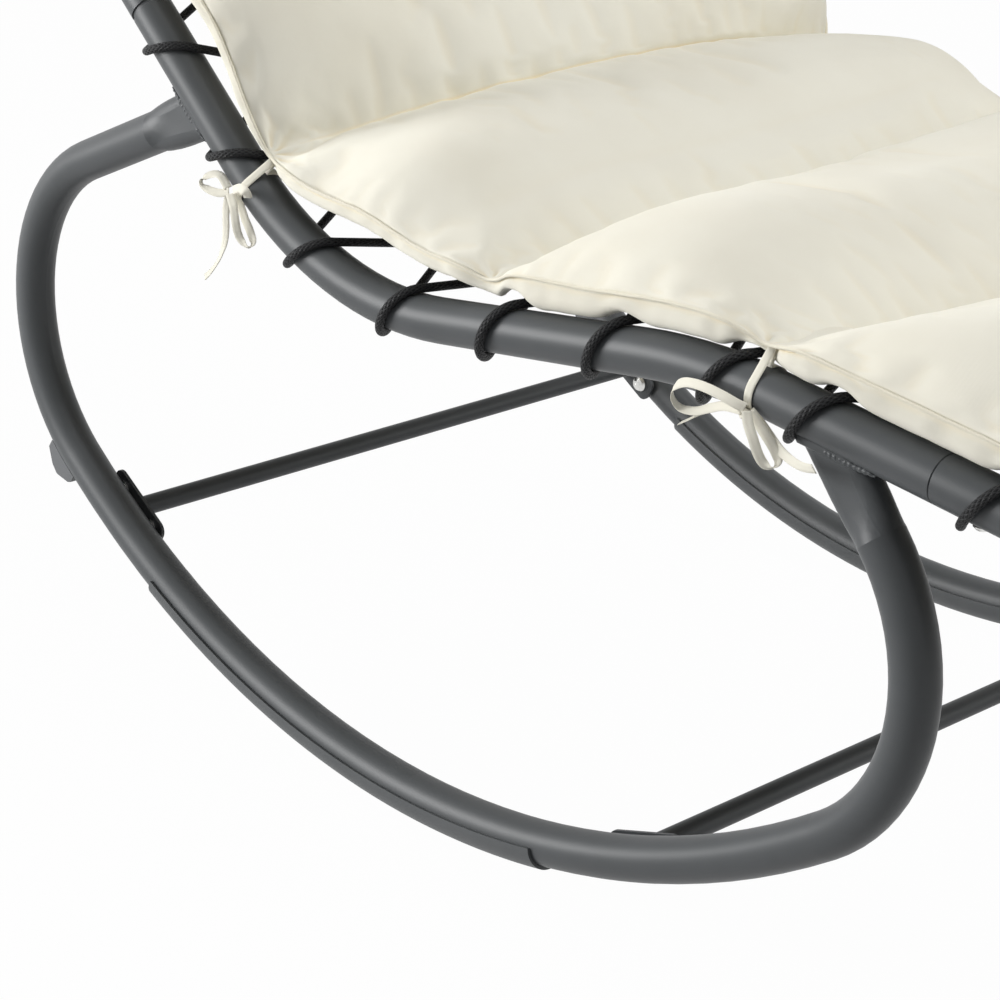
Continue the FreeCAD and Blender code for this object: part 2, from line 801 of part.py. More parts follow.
def sling():
    """Fabric sheet laced at the sides, with a sleeve round each end bar."""
    pieces = []
    for index in range(channel_count):
        sections = [sling_section(index + share) for share in channel_shares]
        pieces.append(Part.makeLoft(sections, True, False))
    sleeve_r = tube_r + sleeve_clearance
    ends = ((head_end, 0, head_end - head_corner), (foot_end, channel_count, foot_end - foot_corner))
    for end, place, way in ends:
        start = end - SIDEWAYS * (sleeve_width / 2)
        pieces.append(tube([("line", start, SIDEWAYS, sleeve_width)], sleeve_r + sling_thickness, sleeve_r))
        inward = way.normalize() * -1
        normal = V(-inward.z, 0, inward.x) if inward.x > 0 else V(inward.z, 0, -inward.x)
        reach = (on_seat(seam_distance(place), 0, sling_edge_lift) - end).dot(inward)
        low, high = sling_edge_lift, sling_edge_lift + sling_thickness
        corners = [(0, low), (reach, low), (reach, high), (0, high)]
        flap = polygon_face([start + inward * a + normal * b for a, b in corners])
        flap = flap.extrude(SIDEWAYS * sleeve_width)
        pieces.append(flap.cut(rod(start, SIDEWAYS, sleeve_r, sleeve_width)))
    body = pieces[0].fuse(pieces[1:])
    hole_r = eyelet_hole_r + eyelet_t + eyelet_clearance
    for distance in eyelet_distances():
        normal = seat_frame(distance)[2]
        for side in (-1, 1):
            body = body.cut(rod(on_seat(distance, side * sling_y, 0), normal, hole_r, 2 * sling_edge_lift))
    return body


def eyelets(y):
    """Metal rings pressed into the sling's hem."""
    shapes = []
    under = sling_edge_lift - eyelet_clearance
    over = sling_edge_lift + sling_thickness + eyelet_clearance
    barrel = eyelet_hole_r + eyelet_t
    profile = [(eyelet_hole_r, under - eyelet_t), (eyelet_r, under - eyelet_t), (eyelet_r, under),
               (barrel, under), (barrel, over), (eyelet_r, over), (eyelet_r, over + eyelet_t),
               (eyelet_hole_r, over + eyelet_t)]
    for distance in eyelet_distances():
        shapes.append(lathe(profile, on_seat(distance, y, 0), seat_frame(distance)[2]))
    return group(shapes)


def arc_points(radius, start_angle, end_angle, count):
    """Corners of an open polygon round the tube's axis, set so that its sides touch the arc."""
    step = (end_angle - start_angle) / count
    reach = radius / math.cos(math.radians(step / 2))
    turns = [math.radians(start_angle + step * (k + 0.5)) for k in range(count)]
    return [(reach * math.cos(turn), reach * math.sin(turn)) for turn in turns]


def lacing_points(side):
    """Corner points of the cord: round the tube from below, over its top, down the next eyelet and back."""
    points = []
    eyelet_lift = sling_edge_lift + sling_thickness / 2
    clear = lacing_r + sling_thickness / 2 + eyelet_clearance + eyelet_t + lacing_clearance
    low_lift = eyelet_lift - clear
    high_lift = eyelet_lift + clear
    reach = sling_inset
    low_tangent = math.degrees(math.acos(wrap_r / math.hypot(reach, low_lift)))
    high_tangent = math.degrees(math.acos(wrap_r / math.hypot(reach, high_lift)))
    from_below = 180 - math.degrees(math.atan2(low_lift, reach)) + low_tangent
    to_above = 540 - math.degrees(math.atan2(high_lift, reach)) - high_tangent
    eyes = eyelet_distances()
    for k in range(wrap_count):
        start_angle = loose_start_angle if k == 0 else from_below
        end_angle = loose_end_angle if k == wrap_count - 1 else to_above
        corners = arc_points(wrap_r, start_angle, end_angle, wrap_corners)
        for index, (outward, lift) in enumerate(corners):
            along = wrap_distance(k) + wrap_slant * ((index + 0.5) / wrap_corners - 0.5)
            points.append(on_seat(along, side * (rail_y + outward), lift))
        if k < wrap_count - 1:
            # Down through the eyelet
            for offset, lift_share in ((-1, 1), (-0.25, 0.35), (0.25, -0.35), (1, -1)):
                along = eyes[k] + offset * eyelet_slack
                inset = eyelet_slack * (abs(offset) - 0.5)
                lift = eyelet_lift + lift_share * clear
                points.append(on_seat(along, side * (sling_y + inset), lift))
    return points


def faceted_cord(points, radius, sides):
    """One unbroken tube of flat facets through the points, mitred at each."""
    way = (points[1] - points[0]).normalize()
    across = way.cross(UP).normalize()
    up = across.cross(way)
    rim = []
    for k in range(sides):
        angle = 2 * math.pi * k / sides
        rim.append(points[0] + across * (radius * math.cos(angle)) + up * (radius * math.sin(angle)))
    faces = [polygon_face(rim)]
    for k in range(1, len(points)):
        way = (points[k] - points[k - 1]).normalize()
        if k + 1 < len(points):
            plane_normal = (way + (points[k + 1] - points[k]).normalize()).normalize()
        else:
            plane_normal = way
        moved = [p + way * ((points[k] - p).dot(plane_normal) / way.dot(plane_normal)) for p in rim]
        for a in range(sides):
            b = (a + 1) % sides
            faces.append(polygon_face([rim[a], rim[b], moved[b], moved[a]]))
        rim = moved
    faces.append(polygon_face(rim))
    shell = Part.makeShell(faces)
    shell.sewShape()
    solid = Part.Solid(shell)
    if solid.Volume < 0:
        solid.reverse()
    return solid


def least_self_gap(points, diameter):
    """Least clear distance between stretches of the cord that aren't neighbours."""
    samples = []
    for a, b in zip(points, points[1:]):
        count = max(int((b - a).Length / 2), 1)
        samples += [a + (b - a) * (k / count) for k in range(count)]
    least = 1000.0
    skip = int(3 * diameter)
    for i in range(len(samples)):
        for j in range(i + skip, min(i + 4 * skip, len(samples))):
            least = min(least, (samples[i] - samples[j]).Length)
    return least - diameter


def lacing(side):
    return faceted_cord(lacing_points(side), lacing_r, 6)


def cushion_section(index, share):
    """Outline across the cushion at a share of the way along a channel."""
    place = index + share
    distance = seam_distance(place)
    puff = math.sin(math.pi * share) ** 0.6 if 0 < share < 1 else 0.0
    half = cushion_width / 2 - seam_draw_in * (1 - puff)
    edge = station_value(edge_lift, place)
    floor = sling_edge_lift + soft_gap
    rim_top, belly_edge, middle = sling_outline(place, sling_thickness)
    belly_y = belly_edge[0]
    belly = floor + belly_edge[1]
    under_middle = floor + middle[1]
    thickness = seam_thickness + (crest_thickness - seam_thickness) * puff
    crown = under_middle + thickness
    side_r = cushion_edge_r * (seam_side_share + (1 - seam_side_share) * puff)
    rim = edge + side_r
    shoulder = rim + (max(crown, edge + thickness * 0.7) - rim) * shoulder_share
    low = half - edge_flat_inset
    side_in = shoulder_in + seam_shoulder_in * (1 - puff)
    inner = half - side_in

    def spot(y, lift):
        return on_seat(distance, y, lift)

    zone = lacing_zone_y
    edges = [Part.LineSegment(spot(-low, edge), spot(-zone, edge)).toShape(),
             Part.LineSegment(spot(-zone, edge), spot(-belly_y, belly)).toShape(),
             Part.Arc(spot(-belly_y, belly), spot(0, under_middle), spot(belly_y, belly)).toShape(),
             Part.LineSegment(spot(belly_y, belly), spot(zone, edge)).toShape(),
             Part.LineSegment(spot(zone, edge), spot(low, edge)).toShape()]
    bulge_y = half - side_in * side_bulge_in
    bulge = (rim + shoulder) / 2 + thickness * side_bulge_out
    under_y = low + edge_flat_inset * 0.8
    under = edge + side_r * 0.4
    over = [(low, edge), (under_y, under), (half, rim), (bulge_y, bulge), (inner, shoulder),
            (0, crown),
            (-inner, shoulder), (-bulge_y, bulge), (-half, rim), (-under_y, under), (-low, edge)]
    for a, b, c in zip(over[::2], over[1::2], over[2::2]):
        edges.append(Part.Arc(spot(*a), spot(*b), spot(*c)).toShape())
    return Part.Wire(edges)


def cushion():
    """Channelled pad: each channel is a crowned loft from seam to seam."""
    channels = []
    for index in range(channel_count):
        wires = [cushion_section(index, share) for share in channel_shares]
        channels.append(Part.makeLoft(wires, True, False))
    return channels[0].fuse(channels[1:])


def ribbon(points, width_way, width, thickness):
    """Flat strip of one width through points that lie in a plane across its width."""
    outer = []
    inner = []
    for k, point in enumerate(points):
        before = points[max(k - 1, 0)]
        after = points[min(k + 1, len(points) - 1)]
        way = (after - before).normalize()
        side = way.cross(width_way).normalize() * (thickness / 2)
        outer.append(point + side)
        inner.append(point - side)
    outline = outer + inner[::-1]
    shift = width_way * (width / 2)
    return polygon_face([p - shift for p in outline]).extrude(width_way * width)


def tie(seam, side):
    """Ribbon from the cushion's seam round the seat tube, with a bow on its outer side."""
    distance = seam_distance(seam) + 6
    point, way, normal = seat_frame(distance)
    y_way = SIDEWAYS * side
    centre = at_side(point, side * rail_y)
    inner_r = tube_r + tie_clearance
    band = ring(centre - way * (tie_width / 2), way, inner_r + tie_thickness, inner_r)
    band = band.extrude(way * tie_width)
    knot_inner = tube_r - 0.05
    knot_centre = centre + y_way * (knot_inner + knot_depth / 2) - normal * knot_drop
    knot_back = knot_centre - y_way * (knot_depth / 2)
    knot = polygon_face([knot_back + way * a - normal * b for a, b in knot_outline])
    pieces = [band, knot.extrude(y_way * knot_depth)]
    for row in tie_loops + tie_tails:
        strip = [knot_centre + way * a - normal * b for a, b in row]
        pieces.append(ribbon(strip, y_way, tie_width * 0.7, tie_thickness))
    return pieces[0].fuse(pieces[1:])


def build():
    os.makedirs("parts", exist_ok=True)
    print("seat line length", round(seat_length, 1), "cushion start", round(cushion_start, 1),
          "cushion end margin", round(seat_length - seam_distance(channel_count), 1))
    right = -rail_y
    save_pair("seat_rail", seat_rail(right))
    save("head_frame", end_frame(0))
    save("foot_frame", end_frame(1))
    save("head_joint_screws", joint_screws(0))
    save("foot_joint_screws", joint_screws(1))
    save("joint_nuts", joint_nuts())
    save_pair("rocker_tube", pilot_holes(rocker_tube(right), right))
    save("rear_crossbar", crossbar(-rear_bar_angle))
    save("front_crossbar", crossbar(front_bar_angle))
    save("rear_crossbar_bolts", crossbar_bolts(-rear_bar_angle))
    save("front_crossbar_bolts", crossbar_bolts(front_bar_angle))
    save("crossbar_rivet_nuts", crossbar_nuts())
    save_pair("glide_strip", glide_strip(right))
    save("glide_strip_screws", strip_screws())
    save_pair("rear_stop", rear_stop(right))
    save("rear_stop_screws", stop_screws())
    save("sling", sling())
    save_pair("eyelets", eyelets(-sling_y))
    print("lacing least self gap", round(least_self_gap(lacing_points(-1), lacing_d), 2))
    save_pair("lacing_cord", lacing(-1))
    save("cushion", cushion())
    for seam in tie_seams:
        for name, side in (("right", -1), ("left", 1)):
            save("tie_%d_%s" % (tie_seams.index(seam) + 1, name), tie(seam, side))


build()
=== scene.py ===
"""Looks of the rocking chaise lounge: soft goods, cords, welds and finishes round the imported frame."""

import math

import bmesh
import bpy
from mathutils import Euler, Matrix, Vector, noise


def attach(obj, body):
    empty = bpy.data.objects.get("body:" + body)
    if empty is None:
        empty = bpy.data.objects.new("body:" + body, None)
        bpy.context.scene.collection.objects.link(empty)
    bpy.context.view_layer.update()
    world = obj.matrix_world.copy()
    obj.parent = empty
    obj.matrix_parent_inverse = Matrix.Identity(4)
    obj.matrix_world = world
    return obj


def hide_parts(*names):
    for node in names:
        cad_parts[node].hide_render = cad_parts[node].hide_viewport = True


# Lengths in millimetres below. X runs to the foot end, Y to the sitter's left, Z up.
MM = 0.001
sides = ((-1, "right"), (1, "left"))

# Seat tube, seen from the side: slopes in degrees, runs from corner to corner of its bends
tube_r = 17.5
rail_y = 330.0
hip_corner = (-102.5, 410.6)
hip_bend_r = 309.0
back_slope = 41.6
thigh_slope = 7.0
thigh_run = 416.9
knee_bend_r = 490.0
shin_slope = 7.3
head_bend_run = 620.0
head_bend_r = 900.0
head_slope = 27.0
head_run = 278.0
foot_bend_run = 375.0
foot_bend_r = 700.0
foot_slope = 20.0
foot_run = 242.0

# Sling: heights are over the seat tube's axis. belly_rise is how far its middle stands over its laced
# edges, or sags below them, at each seam and mid-channel of the cushion from the head end.
sling_half = 257.0
sling_eyelet_y = 245.0
sling_hem = 34.0
sling_lift = 12.5
sling_thickness = 1.2
sling_columns = 64
sling_rows_per_channel = 36
belly_rise = (0.0, -6.0, -8.0, -4.0, 4.0, 22.0, 35.0, 36.0, 15.0, -6.0, -29.0, -20.0, -10.0, -6.0, 0.0)
belly_base = 0.5
eyelet_hole_r = 6.8
cutter_below = 5
cutter_above = 7

# Sleeves of the sling: two rows where the loop is sewn, as distance from the end bar and drop, then the loop
sleeve_half = 220.0
sleeve_slack = 0.4
sleeve_sewn_rows = ((62, 1.0), (50, 1.6))
sleeve_start_angle = 303
sleeve_turn = 231
sleeve_steps = 24

# Cushion: channels between seams, counted from the head end. edge_lift is the height of the cushion's
# lower edge at each seam and mid-channel.
seam_pitches = (246.0, 246.0, 246.0, 302.0, 265.0, 263.0, 263.0)
anchor_seam = 3
anchor_seam_into_hip = 19.0
edge_lift = (26.2, 38.0, 26.2, 46.0, 38.0, 52.0, 26.2, 51.0, 31.0, 26.2, 26.2, 26.2, 26.2, 26.2, 26.2)
cushion_half = 337.0
cushion_gap = 0.8
rim_height = 15.0
crest_thickness = 59.0
crease_thickness = 19.0
crown_power = 0.85

# Fullness of the cushion: how steeply the upper panel rises from its side edges, and how much fuller it is
# on the left side
rise_power = 2.5
rise_power_left = 4
rise_roundness = 0.3
rise_roundness_left = 0.3
crown_left = 0.4
crease_left = 0.5

# Sewn lip of the side seam
seam_lip_r = 1.3
seam_lip_sides = 8
seam_lip_wave_length = 16.0

# Ends of the seams, where the cover is drawn in
seam_draw_in = 8.0
gather_length = 22.0
gather_rim_height = 5.0
gather_folds_reach = 110
gather_folds_fade = 34
gather_folds_start = 9
gather_folds_count = 9
gather_fold_height = 2.6

# Folds of the upper panel and the side panel: heights, and the lengths over which they fade
rim_fold_height = 2.6
rim_fold_fade = 22
seam_fold_height = 3.4
seam_fold_fade = 20
side_fold_height = 2.2
unevenness = 2.4

# Side panel: share of the way down with the distance in, and its lower edge, on the tube past the hip
side_profile = ((0.12, 1.8), (0.3, 0.6), (0.5, -0.6), (0.7, -0.2), (0.88, 2.2), (1.0, 7.0))
side_hold = 0.6
edge_rest = 19.2
edge_rests_from = 3.85
edge_rests_within = 0.25
over_tube_shift = 19.0
over_turn_length = 17.0
lacing_zone_y = 238.0
edge_drop_y = 316.0
edge_drop_width = 11.0

# Grid and cloth of the cushion
row_spacing = 6.5
row_crowding = 0.11
top_steps = 96
top_crowding = 0.72
under_steps = 28
stitch_hold_length = 4.0
cloth_surplus = 0.012
cloth_frames = 13
cloth_cap = 6.0

# Lacing: wrap_shifts moves single turns of the cord along the tube, clear of joints and welds. The angles
# of its loose ends are measured round the tube.
wrap_pitch = 113.0
wrap_count = 16
first_wrap_before_hip = 688.6
wrap_slant = 44.0
wrap_shifts = {0: 46.0, 2: 24.0, 6: -3.0, 12: -32.0, 15: 18.0}
wrap_steps = 26
cord_r = 3.5
wrap_r = tube_r + cord_r + 0.35
cord_sides = 14
cord_spacing = 3
loose_start_angle = 240.0
loose_end_angle = 480.0
eyelet_steps = 8
eyelet_clear = cord_r + 2.15
eyelet_slack = 2.4
eyelet_bulge = 3.2
eyelet_inset = 1.2
braid_pitch = 5.2
braid_strands = 8

# Welds of the rocker's front and rear leg: first and last distance along the seat tube
weld_runs = ((1401.0, 1457.0), (665.0, 720.0))
weld_out = 11.4
weld_r = 2.3
weld_sunk = 0.9
weld_row_spacing = 0.9
weld_columns = 12
weld_ripple = 0.35
weld_ripple_pitch = 4.2
weld_wander = 0.9
weld_wander_length = 7.0
weld_pit = 0.8
weld_pit_length = 2.3

# Ties: tape_section is in halves of the tape's width and thickness, and angles are round the seat tube
tie_seams = (1, 3, 5)
tie_past_seam = 6.0
outer_tape_angle = 150
inner_tape_angle = 96
tape_width = 7.0
tape_thickness = 0.7
tape_gap = 0.45
tape_section = ((-1.0, 0.0), (-0.94, 1.0), (-0.3, 0.8), (0.3, 0.8), (0.94, 1.0),
                (1.0, 0.0), (0.94, -1.0), (0.3, -0.8), (-0.3, -0.8), (-0.94, -1.0))
strand_steps = 7
ring_steps = 30
knot_angle = 212.0
knot_r = 3.4
knot_half = 4.6
knot_least_r = 0.4
knot_off_tape = 0.9
knot_rows = 13
knot_columns = 20

# Bows: each strand's points are places in the photograph, with the distance out from the seat tube's axis
# in millimetres and the turn of the tape, from 0, seen flat, to 90, seen from its edge
hip_bow = (
    ((229, 192, 23, 0), (220, 193, 26, 10), (212, 191, 28, 15), (205, 187, 28, 40), (202, 182, 25, 80),
     (205, 177, 22, 130), (213, 174, 20, 150), (221, 176, 20, 160), (228, 188, 22, 170)),
    ((233, 190, 24, 0), (239, 188, 27, 5), (244, 190, 28, 10), (247, 194, 27, 20), (248, 198, 26, 25)),
    ((230, 194, 24, 0), (233, 205, 28, 10), (235, 218, 30, 15), (237, 230, 30, 15), (241, 240, 28, 30),
     (248, 247, 25, 80), (253, 242, 22, 140), (250, 231, 21, 160), (245, 219, 21, 160), (240, 205, 21, 165),
     (233, 195, 22, 175)),
    ((229, 195, 21, 0), (226, 211, 19, 30), (226, 227, 18, 35), (225, 240, 18, 40), (222, 251, 19, 55),
     (218, 261, 21, 65), (211, 271, 24, 60), (205, 277, 26, 50)),
)
knee_bow = (
    ((745, 408, 24, 0), (735, 403, 27, 5), (723, 396, 29, 10), (707, 388, 30, 15), (692, 383, 29, 25),
     (681, 383, 27, 45), (673, 389, 25, 90), (673, 399, 23, 120), (681, 408, 21, 140), (696, 411, 20, 145),
     (710, 408, 20, 150), (725, 406, 21, 160), (742, 410, 22, 175)),
    ((743, 410, 20, 70), (725, 407, 18, 80), (710, 411, 17, 84), (698, 415, 17, 84), (687, 420, 18, 84),
     (680, 423, 19, 84)),
    ((747, 411, 25, 0), (748, 423, 28, 10), (753, 439, 30, 10), (758, 454, 30, 15), (764, 464, 28, 30),
     (772, 468, 25, 80), (778, 461, 22, 140), (775, 451, 21, 160), (767, 437, 21, 165), (759, 425, 21, 165),
     (750, 412, 22, 175)),
    ((750, 411, 20, 20), (761, 423, 18, 35), (771, 437, 18, 40), (781, 451, 20, 45), (792, 461, 24, 55),
     (803, 467, 29, 65), (814, 469, 34, 70)),
)

# Camera, from the photograph
focal_px = 2646.0
photo_px = 1000.0
camera_azimuth = 48.345
camera_elevation = 20.949
camera_place = (1476.84, -1554.08, 1008.1)


# Stage: lamps as name, place and target in metres, size in metres and watts
floor_half = 14.0
floor_grey = 0.6
floor_white_share = 0.98
world_strength = 0.1
lamps = (
    ("left", (-2.7, -3.0, 1.3), (0, 0, 0.3), (2.0, 1.8), 163),
    ("top", (0.9, 0.4, 3.2), (0, 0, 0.4), (2.8, 2.8), 72),
    ("right", (2.7, 2.3, 1.3), (0, 0, 0.3), (1.6, 1.8), 30),
)


def unit(angle):
    return Vector((math.cos(math.radians(angle)), math.sin(math.radians(angle))))


class SeatLine:
    """Side view of the seat tube's axis: straight runs joined by arcs, from the head end to the foot end."""

    def __init__(self, corners, radii):
        self.parts = []
        start = corners[0]
        for before, corner, after, radius in zip(corners, corners[1:], corners[2:], radii):
            way_in = (corner - before).normalized()
            way_out = (after - corner).normalized()
            turn = math.atan2(way_in.x * way_out.y - way_in.y * way_out.x, way_in.dot(way_out))
            tangent = radius * math.tan(abs(turn) / 2)
            arc_start = corner - way_in * tangent
            heading = math.atan2(way_in.y, way_in.x)
            self.parts.append(((arc_start - start).length, start, heading, 0.0))
            self.parts.append((radius * abs(turn), arc_start, heading, math.copysign(1 / radius, turn)))
            start = corner + way_out * tangent
        way = corners[-1] - start
        self.parts.append((way.length, start, math.atan2(way.y, way.x), 0.0))
        self.length = sum(part[0] for part in self.parts)

    def at(self, distance):
        """Point (x, z) and heading at a distance from the head end."""
        for length, start, heading, bend in self.parts:
            if distance <= length or bend == 0.0 and start == self.parts[-1][1]:
                break
            distance -= length
        if bend == 0.0:
            return start + Vector((math.cos(heading), math.sin(heading))) * distance, heading
        end = heading + bend * distance
        step = Vector((math.sin(end) - math.sin(heading), math.cos(heading) - math.cos(end))) / bend
        return start + step, end


def seat_corners():
    hip = Vector(hip_corner)
    knee = hip + unit(thigh_slope) * thigh_run
    head_corner = hip + unit(180 - back_slope) * head_bend_run
    foot_corner = knee + unit(-shin_slope) * foot_bend_run
    head_end = head_corner + unit(180 - head_slope) * head_run
    foot_end = foot_corner + unit(-foot_slope) * foot_run
    return [head_end, head_corner, hip, knee, foot_corner, foot_end]


corners = seat_corners()
seat_line = SeatLine(corners, [head_bend_r, hip_bend_r, knee_bend_r, foot_bend_r])
centre_x = (corners[0].x + corners[-1].x) / 2
hip_bend_start = sum(part[0] for part in seat_line.parts[:3])
cushion_start = hip_bend_start + anchor_seam_into_hip - sum(seam_pitches[:anchor_seam])
channel_count = len(seam_pitches)


def seat(distance, y, lift):
    """Point in metres from the distance along the seat tube, Y and the height over the tube's axis."""
    point, heading = seat_line.at(distance)
    x = point.x - lift * math.sin(heading) - centre_x
    z = point.y + lift * math.cos(heading)
    return Vector((x, y, z)) * MM


def seam_distance(place):
    """Distance along the seat tube of a place counted in channels from the cushion's head end."""
    whole = min(int(place), channel_count - 1)
    return cushion_start + sum(seam_pitches[:whole]) + (place - whole) * seam_pitches[whole]


def eased(values, place):
    """Value at a place, eased between the values given for seams and mid-channels."""
    step = min(max(2 * place, 0.0), len(values) - 1.001)
    low = int(step)
    share = step - low
    share = share * share * (3 - 2 * share)
    return values[low] * (1 - share) + values[low + 1] * share


def wrap_distance(index):
    """Distance along the seat tube of a turn of the cord."""
    first_wrap = hip_bend_start - first_wrap_before_hip
    return first_wrap + wrap_pitch * index + wrap_shifts.get(index, 0.0)


def eyelet_distances():
    """One eyelet midway between each two turns of the cord."""
    return [(wrap_distance(k) + wrap_distance(k + 1)) / 2 for k in range(wrap_count - 1)]


# Meshes

def make_object(name, vertices, faces, material, uv=None):
    """Smooth shaded mesh object. uv is a list of one (u, v) per vertex."""
    mesh = bpy.data.meshes.new(name)
    mesh.from_pydata(vertices, [], faces)
    if uv is not None:
        layer = mesh.uv_layers.new(name="cloth")
        for loop in mesh.loops:
            layer.data[loop.index].uv = uv[loop.vertex_index]
    mesh.materials.append(material)
    mesh.polygons.foreach_set("use_smooth", [True] * len(mesh.polygons))
    mesh.validate()
    piece = bpy.data.objects.new(name, mesh)
    bpy.context.scene.collection.objects.link(piece)
    return piece


def apply_modifiers(piece):
    """Makes what the modifiers show the piece's own mesh."""
    graph = bpy.context.evaluated_depsgraph_get()
    mesh = bpy.data.meshes.new_from_object(piece.evaluated_get(graph))
    piece.modifiers.clear()
    piece.data = mesh


def grid_faces(rows, columns):
    """Faces of an open grid whose vertices are listed row by row."""
    faces = []
    for i in range(rows - 1):
        for j in range(columns - 1):
            a = i * columns + j
            faces.append((a, a + columns, a + columns + 1, a + 1))
    return faces


def closed_faces(rows, columns):
    """Faces of a skin made of closed rings, one to a row, with both ends capped."""
    faces = []
    for i in range(rows - 1):
        for j in range(columns):
            a = i * columns + j
            b = i * columns + (j + 1) % columns
            faces.append((a, b, b + columns, a + columns))
    faces.append(tuple(range(columns - 1, -1, -1)))
    faces.append(tuple(range((rows - 1) * columns, rows * columns)))
    return faces


def joined(meshes):
    """One mesh from several, each given as its vertices, faces and UVs."""
    vertices, faces, uv = [], [], []
    for part_vertices, part_faces, part_uv in meshes:
        shift = len(vertices)
        vertices += part_vertices
        uv += part_uv
        faces += [tuple(corner + shift for corner in face) for face in part_faces]
    return vertices, faces, uv


# Materials

def new_material(name):
    material = bpy.data.materials.new(name)
    material.use_nodes = True
    return material, material.node_tree, material.node_tree.nodes["Principled BSDF"]


def add_node(tree, kind, **settings):
    """New node, with its sockets or properties set by name."""
    node = tree.nodes.new(kind)
    for key, value in settings.items():
        if key in node.inputs:
            node.inputs[key].default_value = value
        else:
            setattr(node, key, value)
    return node


def noise_texture(tree, coordinates, scale, detail=3.0, roughness=0.5):
    node = add_node(tree, "ShaderNodeTexNoise", Scale=scale, Detail=detail, Roughness=roughness)
    tree.links.new(coordinates, node.inputs["Vector"])
    return node.outputs["Fac"]


def tinted(tree, factor, dark, light, low=0.3, high=0.7):
    """Colour that goes from dark to light as factor goes from low to high."""
    ramp = add_node(tree, "ShaderNodeValToRGB")
    ramp.color_ramp.elements[0].position = low
    ramp.color_ramp.elements[1].position = high
    ramp.color_ramp.elements[0].color = (*dark, 1)
    ramp.color_ramp.elements[1].color = (*light, 1)
    tree.links.new(factor, ramp.inputs["Fac"])
    return ramp.outputs["Color"]


def bump(tree, shader, height, strength, distance, previous=None):
    node = add_node(tree, "ShaderNodeBump", Strength=strength, Distance=distance)
    tree.links.new(height, node.inputs["Height"])
    if previous is not None:
        tree.links.new(previous, node.inputs["Normal"])
    tree.links.new(node.outputs["Normal"], shader.inputs["Normal"])
    return node.outputs["Normal"]


def object_coordinates(tree):
    return add_node(tree, "ShaderNodeTexCoord").outputs["Object"]


def powder_coat(name, dark, light, roughness=0.42):
    """Sprayed powder on steel: fine orange peel and a slight mottle."""
    material, tree, shader = new_material(name)
    where = object_coordinates(tree)
    colour = tinted(tree, noise_texture(tree, where, 14.0), dark, light)
    tree.links.new(colour, shader.inputs["Base Color"])
    shader.inputs["Roughness"].default_value = roughness
    shader.inputs["Specular IOR Level"].default_value = 0.28
    bump(tree, shader, noise_texture(tree, where, 900.0, 2.0), 0.12, 0.0004)
    return material


def plated_metal(name, colour, roughness):
    """Zinc plate: even metal, a little darker in patches."""
    material, tree, shader = new_material(name)
    where = object_coordinates(tree)
    shade = tinted(tree, noise_texture(tree, where, 160.0), [c * 0.8 for c in colour], colour)
    tree.links.new(shade, shader.inputs["Base Color"])
    shader.inputs["Metallic"].default_value = 1.0
    shader.inputs["Roughness"].default_value = roughness
    bump(tree, shader, noise_texture(tree, where, 1500.0, 2.0), 0.08, 0.0002)
    return material


def moulded_plastic(name, dark, light, roughness):
    """Plastic with the fine grain of its mould."""
    material, tree, shader = new_material(name)
    where = object_coordinates(tree)
    tree.links.new(tinted(tree, noise_texture(tree, where, 30.0), dark, light), shader.inputs["Base Color"])
    shader.inputs["Roughness"].default_value = roughness
    bump(tree, shader, noise_texture(tree, where, 2200.0, 2.0), 0.15, 0.0003)
    return material


def weave_height(tree, thread):
    """Height of a plain weave, from UVs in metres, with one thread every so many metres."""
    uv = add_node(tree, "ShaderNodeUVMap").outputs["UV"]
    parts = add_node(tree, "ShaderNodeSeparateXYZ")
    tree.links.new(uv, parts.inputs["Vector"])
    waves = []
    for axis in ("X", "Y"):
        turn = add_node(tree, "ShaderNodeMath", operation="MULTIPLY")
        turn.inputs[1].default_value = math.pi / thread
        tree.links.new(parts.outputs[axis], turn.inputs[0])
        wave = add_node(tree, "ShaderNodeMath", operation="SINE")
        tree.links.new(turn.outputs[0], wave.inputs[0])
        waves.append(wave.outputs[0])
    product = add_node(tree, "ShaderNodeMath", operation="MULTIPLY")
    tree.links.new(waves[0], product.inputs[0])
    tree.links.new(waves[1], product.inputs[1])
    return product.outputs[0]


def fabric(name, dark, light, thread, roughness=0.8, sheen=0.25, wrinkles=0.0, painted_crease_shade=None):
    """Woven cloth with a sheen and uneven dye. wrinkles adds creases. The hollow colour, if given, is painted
    shade: a darker, warmer tone where the surface curves inward, at creases and hollows.
    """
    material, tree, shader = new_material(name)
    where = object_coordinates(tree)
    colour = tinted(tree, noise_texture(tree, where, 7.0, 5.0), dark, light)
    if painted_crease_shade is not None:
        # Painted shade: where the surface curves inward, at creases and hollows, the colour turns darker and
        # warmer, following the geometry's pointiness.
        geometry = add_node(tree, "ShaderNodeNewGeometry")
        outward = add_node(tree, "ShaderNodeMapRange")
        outward.inputs["From Min"].default_value = 0.44
        outward.inputs["From Max"].default_value = 0.5
        tree.links.new(geometry.outputs["Pointiness"], outward.inputs["Value"])
        mix = add_node(tree, "ShaderNodeMix", data_type="RGBA")
        tree.links.new(outward.outputs[0], mix.inputs["Factor"])
        # Sockets 6 and 7 are the two colours, and output 2 the mixed colour
        tree.links.new(colour, mix.inputs[7])
        mix.inputs[6].default_value = (*painted_crease_shade, 1)
        colour = mix.outputs[2]
    tree.links.new(colour, shader.inputs["Base Color"])
    shader.inputs["Roughness"].default_value = roughness
    shader.inputs["Sheen Weight"].default_value = sheen
    shader.inputs["Sheen Roughness"].default_value = 0.5
    shader.inputs["Specular IOR Level"].default_value = 0.25
    normal = None
    if wrinkles:
        normal = bump(tree, shader, noise_texture(tree, where, 26.0, 4.0), wrinkles, 0.003)
    bump(tree, shader, weave_height(tree, thread), 0.25, 0.0002, normal)
    return material


